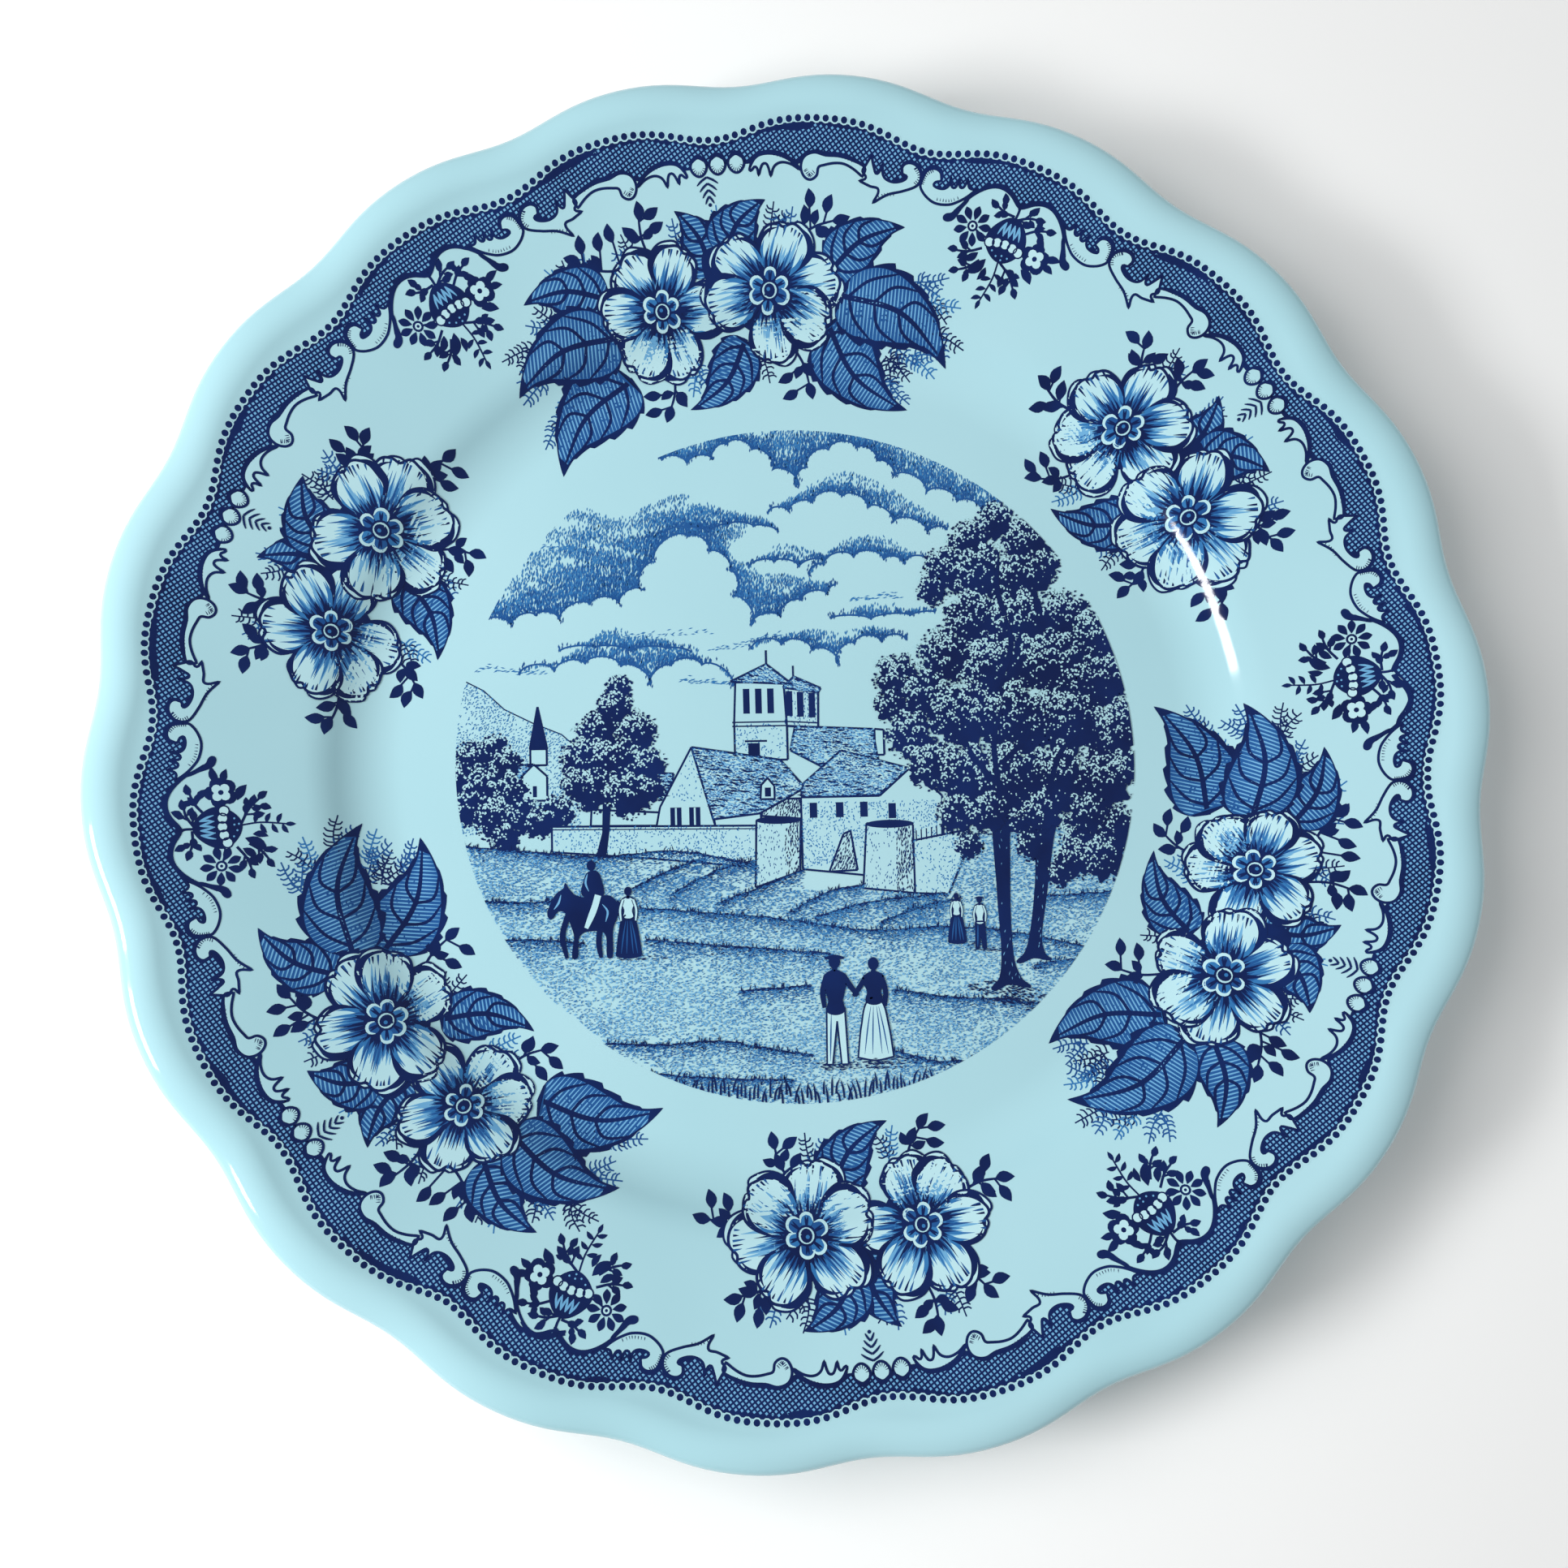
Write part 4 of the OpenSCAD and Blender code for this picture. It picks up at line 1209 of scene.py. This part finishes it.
def horse_and_rider(art):
    """A dark horse that faces left, with its rider, and a few light strokes on them."""
    horse = [(-48.8, -28.4), (-49.1, -30), (-48.3, -30.8), (-47, -29.2), (-45.6, -29.6), (-44.6, -32),
             (-44, -34.2), (-44.4, -38.4), (-43.4, -38.4), (-42.8, -34), (-40.2, -33.2), (-38, -33.8),
             (-37.6, -38.4), (-36.6, -38.4), (-36.4, -33), (-35.2, -29), (-36.8, -26.4), (-40.4, -26.6),
             (-43.4, -26.2), (-45, -24.6), (-45.6, -23.6), (-45.8, -24.6), (-47.4, -25.8)]
    patch(art, DARK, 107, curve(horse, 0.7, closed=True), 0)
    for points in ([(-45, -29.6), (-46.2, -34), (-45.4, -38.4)],
                   [(-39, -33), (-39.2, -35.6), (-38.8, -38.4)],
                   [(-35.8, -27.6), (-34.2, -30), (-34.6, -34.2)]):
        pen(art, DARK, 107, points, 1.1, 1, 0.6)
    rider = [(-42.4, -26), (-42, -23.4), (-41.2, -21.7), (-39.4, -21.5), (-38.5, -23.2), (-38.2, -26.4),
             (-40.4, -27)]
    patch(art, DARK, 108, curve(rider, 0.4, closed=True), 0)
    patch(art, DARK, 108, circle((-40.5, -20.4), 0.85, 14, 1.2), 0)
    pen(art, WHITE, 110, [(-39.2, -26.2), (-40, -28.8), (-41.6, -32.6)], 1.25, 1, 0.6)
    for points in ([(-46.4, -26), (-46.9, -27.6), (-47.8, -28.8)],
                   [(-41.2, -22), (-41.6, -23.8), (-41, -25.4)],
                   [(-38.4, -28), (-37.4, -29.4), (-37.8, -31.4)]):
        pen(art, LIGHT, 110, points, 0.4)


def people(art):
    """A couple in front, two more under the tree, and on the left one beside a horse and its rider."""
    for place in ((6.6, -60.2, 22, False, True, 1), (14.2, -59.4, 20.5, True, True, -1),
                  (31, -37.2, 10.2, True, False), (35.6, -38.4, 10.6, False, False),
                  (-33.4, -38.4, 14.2, True, False)):
        figure(art, *place)
    horse_and_rider(art)


def left_houses(art):
    """A low house, and the gabled one with two tall windows and a dormer."""
    block(art, 28, [(-40.4, -12.6), (-40.2, -9.4), (-27, -10.2), (-27, -12.8)])
    roof(art, 28, [(-28, -6.6), (-27.4, -2.4), (-24, -2.6), (-25.6, -8)], 0)
    block(art, 30, [(-27.6, -13.2), (-26.8, -9.2), (-20.4, 2.6), (-16, -13.2)])
    masonry(art, 31, [(-25, -8), (-20.4, 2), (-18, -8)], 0.12)
    windows(art, 32, [(-23.7, -11.2), (-20, -11.2)], 2.2, 3.8)
    for x in (-23.7, -20):
        rule(art, 33, [(x, -9.4), (x, -13)], 0.35, GROUND)
    roof(art, 32, [(-20.4, 2.6), (-3, -0.2), (1.8, -5.8), (-7, -10.8), (-16.4, -11.8)], -8)
    block(art, 36, [(-7, -8), (-6.8, -5.2), (-5.5, -3.8), (-4.2, -5.4), (-4.2, -8)])
    windows(art, 38, [(-5.5, -6.6)], 1.2, 1.8)
    block(art, 36, [(-16, -13.2), (-16.2, -11.8), (-7, -10.8), (-7, -13.2)])


def right_house(art):
    """The large house on the right, a dark buttress before it and a dark lean-to on its left."""
    roof(art, 38, [(1.6, -5), (9.2, 1.4), (22.6, -2.4), (16.4, -7.6), (1, -7.6)], -6)
    block(art, 40, [(1, -22), (1, -7.8), (16.6, -7.8), (23, -2.2), (29, -8), (29, -18), (18, -24)])
    masonry(art, 41, [(1, -22), (1, -8.6), (16.6, -8.6), (28, -8.6), (28, -18)], 0.4)
    windows(art, 42, [(3.4, -10.4), (8.6, -10.4), (13.4, -10.4), (19, -10.8)], 1.5, 3)
    for layer, corners in ((42, [(6.2, -22.6), (9.2, -15.2), (10.6, -14.6), (11.8, -22.4)]),
                           (34, [(-8, -11.2), (-1.8, -8), (1, -8), (1, -12)])):
        block(art, layer, corners)
        texture(art, DARK, layer + 1, corners, 0.42, 0.85, 0.9, 0.28, 70, 12, 3)


def bastion(art, left_foot, left_top, right_top, right_foot):
    """A round tower of the wall: a lit front, a shaded right side and a dark hollow top."""
    corners = np.array([left_foot, left_top, right_top, right_foot])
    block(art, 48, corners)
    texture(art, MID, 49, corners, 0.5, 0.3, 0.6, 0.24, 84, 16, 3)
    (x0, _), (x1, y1), (x2, y2), (x3, y3) = corners
    shaded = [(x0 * 0.35 + x3 * 0.65, y3), (x1 * 0.35 + x2 * 0.65, y1), (x2, y2), (x3, y3)]
    texture(art, DARK, 50, shaded, 0.5, 0.75, 0.9, 0.3, 86, 10, 3)
    patch(art, DARK, 51, circle(((x1 + x2) / 2, (y1 + y2) / 2), (x2 - x1) / 2 + 0.2, 24, 0.17), 0)


def town_wall(art):
    """The long wall, its two round bastions, and the railed slope beside them."""
    long_wall = [(-48, -17.6), (-48, -12.6), (-8, -13.2), (-8.2, -21.4), (-29, -19.2)]
    block(art, 44, long_wall)
    masonry(art, 45, long_wall, 0.34)
    rule(art, 46, [(-48, -13.2), (-8, -13.8)], 0.24)
    bastion(art, (-8.4, -25.4), (-7.9, -12.2), (0.8, -12.2), (0.4, -22.4))
    bastion(art, (12.8, -26), (13.8, -13.2), (23, -13.6), (23, -27.2))
    slope = [(23, -27.2), (23, -16.8), (34.2, -14.8), (32.6, -21), (29.6, -27.6)]
    block(art, 48, slope)
    masonry(art, 49, slope, 0.3)
    for i in range(11):
        x, rise = 23.6 + i * 1.02, i * 0.19
        rule(art, 49, [(x, rise - 17), (x, rise - 14.8)], 0.24)


# How much of their height the picture's layers keep, for there are many of them
PICTURE_RELIEF = 0.4


def centre_picture():
    """The landscape, cut off at its round edge."""
    art = Drawing()
    for draw in (sky, far_hill, tower, left_houses, right_house, town_wall, fields, small_tree, tall_tree,
                 people):
        draw(art)
    cut = Drawing()
    for tone, points, heights, faces in art.packed().shapes:
        away = points - PICTURE_MIDDLE
        far = np.hypot(away[:, 0], away[:, 1])
        held = PICTURE_MIDDLE + away * (PICTURE_R / np.maximum(far, PICTURE_R))[:, None]
        cut.shapes.append((tone, held, heights * PICTURE_RELIEF, faces[(far[faces] < PICTURE_R).any(1)]))
    return cut


# ---------------------------------------------------------------- meshes

def new_mesh(name, points, faces, material):
    """A smooth-shaded mesh object from points in millimetres."""
    mesh = bpy.data.meshes.new(name)
    mesh.from_pydata((np.asarray(points) * MM).tolist(), [], [list(face) for face in faces])
    mesh.materials.append(material)
    mesh.validate()
    mesh.polygons.foreach_set("use_smooth", np.ones(len(mesh.polygons), bool))
    made = bpy.data.objects.new(name, mesh)
    bpy.context.scene.collection.objects.link(made)
    return made


def print_on_plate(art, name, node):
    """Lays a drawing on the plate's face: one mesh for each tone."""
    for tone, points, heights, faces in art.packed().shapes:
        x, y = points[:, 0], points[:, 1]
        z = face_height(x, y) + heights + SURFACE_GAP
        p, q, r = (points[faces[:, k]] for k in range(3))
        turn = (q[:, 0] - p[:, 0]) * (r[:, 1] - p[:, 1]) - (r[:, 0] - p[:, 0]) * (q[:, 1] - p[:, 1])
        faces = np.where(turn[:, None] < 0, faces[:, ::-1], faces)[np.abs(turn) > 1e-7]
        piece = new_mesh(f"{name}_{tone}", np.stack([x, y, z], 1), faces, TONES[tone])
        piece.data.normals_split_custom_set_from_vertices(face_normals(x, y).tolist())
        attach(piece, "root")
        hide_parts(node)


def turned(name, line, material):
    """A mesh of a section, a line of (r, z), swept round the lobed plate."""
    steps_per_lobe, n = 20, len(line)
    steps = LOBES * steps_per_lobe
    r, z = np.array(line, float).T
    a = np.arange(steps)[:, None] * 2 * math.pi / steps
    reach = r + lobe_share(r) * lobe_wave(a)
    height = z + lobe_share(r) * lobe_rise(a)
    points = np.stack([reach * np.cos(a), reach * np.sin(a), height], 2).reshape(-1, 3)
    ring = np.arange(steps)[:, None] * n
    after = (np.arange(steps)[:, None] + 1) % steps * n
    j = np.arange(n - 1)
    faces = np.stack([ring + j, ring + j + 1, after + j + 1, after + j], 2).reshape(-1, 4)
    return new_mesh(name, points, faces[:, ::-1], material)


def sunk(station, depth):
    """The point (r, z) at a depth under a station of the face."""
    r, z, slope = station
    a = math.radians(slope)
    return r + depth * math.sin(a), z - depth * math.cos(a)


def plate_section():
    """The glazed outside: from the well's middle over the lip and the back to the outside of the foot."""
    line = [(r, FLOOR_H) for r in (0, 6, 14, 24, 34, 44, 54, 62, 69, 73.5)]
    line += [s[:2] for s in FACE]
    end = FACE[-1]
    middle_r, middle_z = sunk(end, PLATE_T / 2)
    for i in range(1, 10):
        a = math.radians(90 + end[2] - 18 * i)
        line.append((middle_r + PLATE_T / 2 * math.cos(a), middle_z + PLATE_T / 2 * math.sin(a)))
    back_end, root = FOOT_R + 10, FOOT_R + FOOT_ROOT_W / 2
    line += [sunk(s, PLATE_T) for s in reversed(FACE[1:])]
    line = [(r, z) for r, z in line if r >= back_end or z >= FLOOR_H - 1]
    foot = [(back_end, 3.3), (root + 1.5, UNDER_H + 0.25), (root - 0.3, UNDER_H), (FOOT_OUT + 0.4, BARE_H)]
    return line + curve(foot, 0.5).tolist()


def base_section():
    """The glazed inside of the foot and the base within it, to the middle."""
    root = FOOT_R - FOOT_ROOT_W / 2
    line = curve([(FOOT_IN - 0.4, BARE_H), (root + 0.2, UNDER_H - 0.25), (root - 1.5, UNDER_H),
                  (60, UNDER_H)], 0.5)
    return line.tolist() + [(30, UNDER_H), (0, UNDER_H)]


def foot_section():
    """The bare standing face of the foot, which stops a hair above the table."""
    low, high = 0.02, BARE_H + 0.05
    return curve([(FOOT_OUT + 0.35, high), (FOOT_OUT, low), (FOOT_OUT, low), (FOOT_IN, low), (FOOT_IN, low),
                  (FOOT_IN - 0.35, high)], 0.3)


def make_plate():
    """The glazed surface, the glazed base inside the foot, and the bare standing face of the foot."""
    for name, line, material, node, slot in (
            ("glazed_plate", plate_section(), TONES[GROUND], "glaze_coat", "tinted_glaze"),
            ("glazed_base", base_section(), TONES[GROUND], "base_glaze", "tinted_glaze"),
            ("bare_foot", foot_section(), BARE_CLAY, "body", "clay_body")):
        piece = turned(name, line, material)
        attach(piece, "root")
        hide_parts(node)


# ---------------------------------------------------------------- camera, floor and light

# The camera's place in metres, its turns in degrees about Z, Y and X, and its lens
CAMERA_AT, CAMERA_TURNS, CAMERA_LENS = (-0.0281, -0.0563, 0.4206), (1.14, 3.54, -7.05), 48.65


def make_camera():
    """Above the plate and a little in front of its middle, tilted as in a hand-held picture."""
    data = bpy.data.cameras.new("camera")
    data.sensor_width = 36
    data.lens = CAMERA_LENS
    camera = bpy.data.objects.new("camera", data)
    bpy.context.scene.collection.objects.link(camera)
    about_z, about_y, about_x = (Matrix.Rotation(math.radians(turn), 3, axis)
                                 for turn, axis in zip(CAMERA_TURNS, "ZYX"))
    tilt = about_z @ about_y @ about_x
    camera.matrix_world = Matrix.Translation(CAMERA_AT) @ tilt.transposed().to_4x4()
    bpy.context.scene.camera = camera


def area_light(name, place, size, power, glints=True):
    """A soft light aimed at the plate. One without glints is not mirrored in its glaze."""
    data = bpy.data.lights.new(name, "AREA")
    data.shape = "RECTANGLE"
    data.size, data.size_y = size
    data.energy = power
    light = bpy.data.objects.new(name, data)
    light.location = place
    light.rotation_euler = Vector(place).to_track_quat("Z", "Y").to_euler()
    light.visible_glossy = glints
    bpy.context.scene.collection.objects.link(light)


def make_studio():
    """A pale floor and soft light, most of it from the left, as in the photograph."""
    bpy.ops.mesh.primitive_plane_add(size=8, location=(0, 0, 0))
    floor = bpy.context.object
    floor.name = "floor"
    floor.data.materials.append(mottled("floor_paper", linear(247, 247, 246), linear(252, 252, 251), 3, 0.9))
    world = bpy.data.worlds.new("studio")
    world.use_nodes = True
    world.node_tree.nodes["Background"].inputs["Color"].default_value = (0.95, 0.98, 1.0, 1)
    world.node_tree.nodes["Background"].inputs["Strength"].default_value = 0.24
    bpy.context.scene.world = world
    area_light("window", (-0.84, -0.19, 0.6), (0.34, 0.2), 6)
    area_light("key", (-0.46, 0.03, 0.62), (0.5, 0.5), 3.5, glints=False)
    area_light("fill", (0.5, 0.2, 1.1), (1.2, 0.8), 1.8, glints=False)
    area_light("strip", (0.9, 0.5, 0.42), (1.0, 0.16), 1.2, glints=False)
    bpy.context.scene.view_settings.view_transform = "Standard"


make_camera()
make_studio()
make_plate()
for number, start in enumerate(SHEET_START, 1):
    after = (SHEET_START + (SHEET_START[0] + 360,))[number]
    sheet = Drawing()
    sheet.put(border_sheet(start, after - start), start)
    print_on_plate(sheet, f"border_{number}", f"border_transfer_{number}")

print_on_plate(centre_picture(), "centre", "centre_transfer")
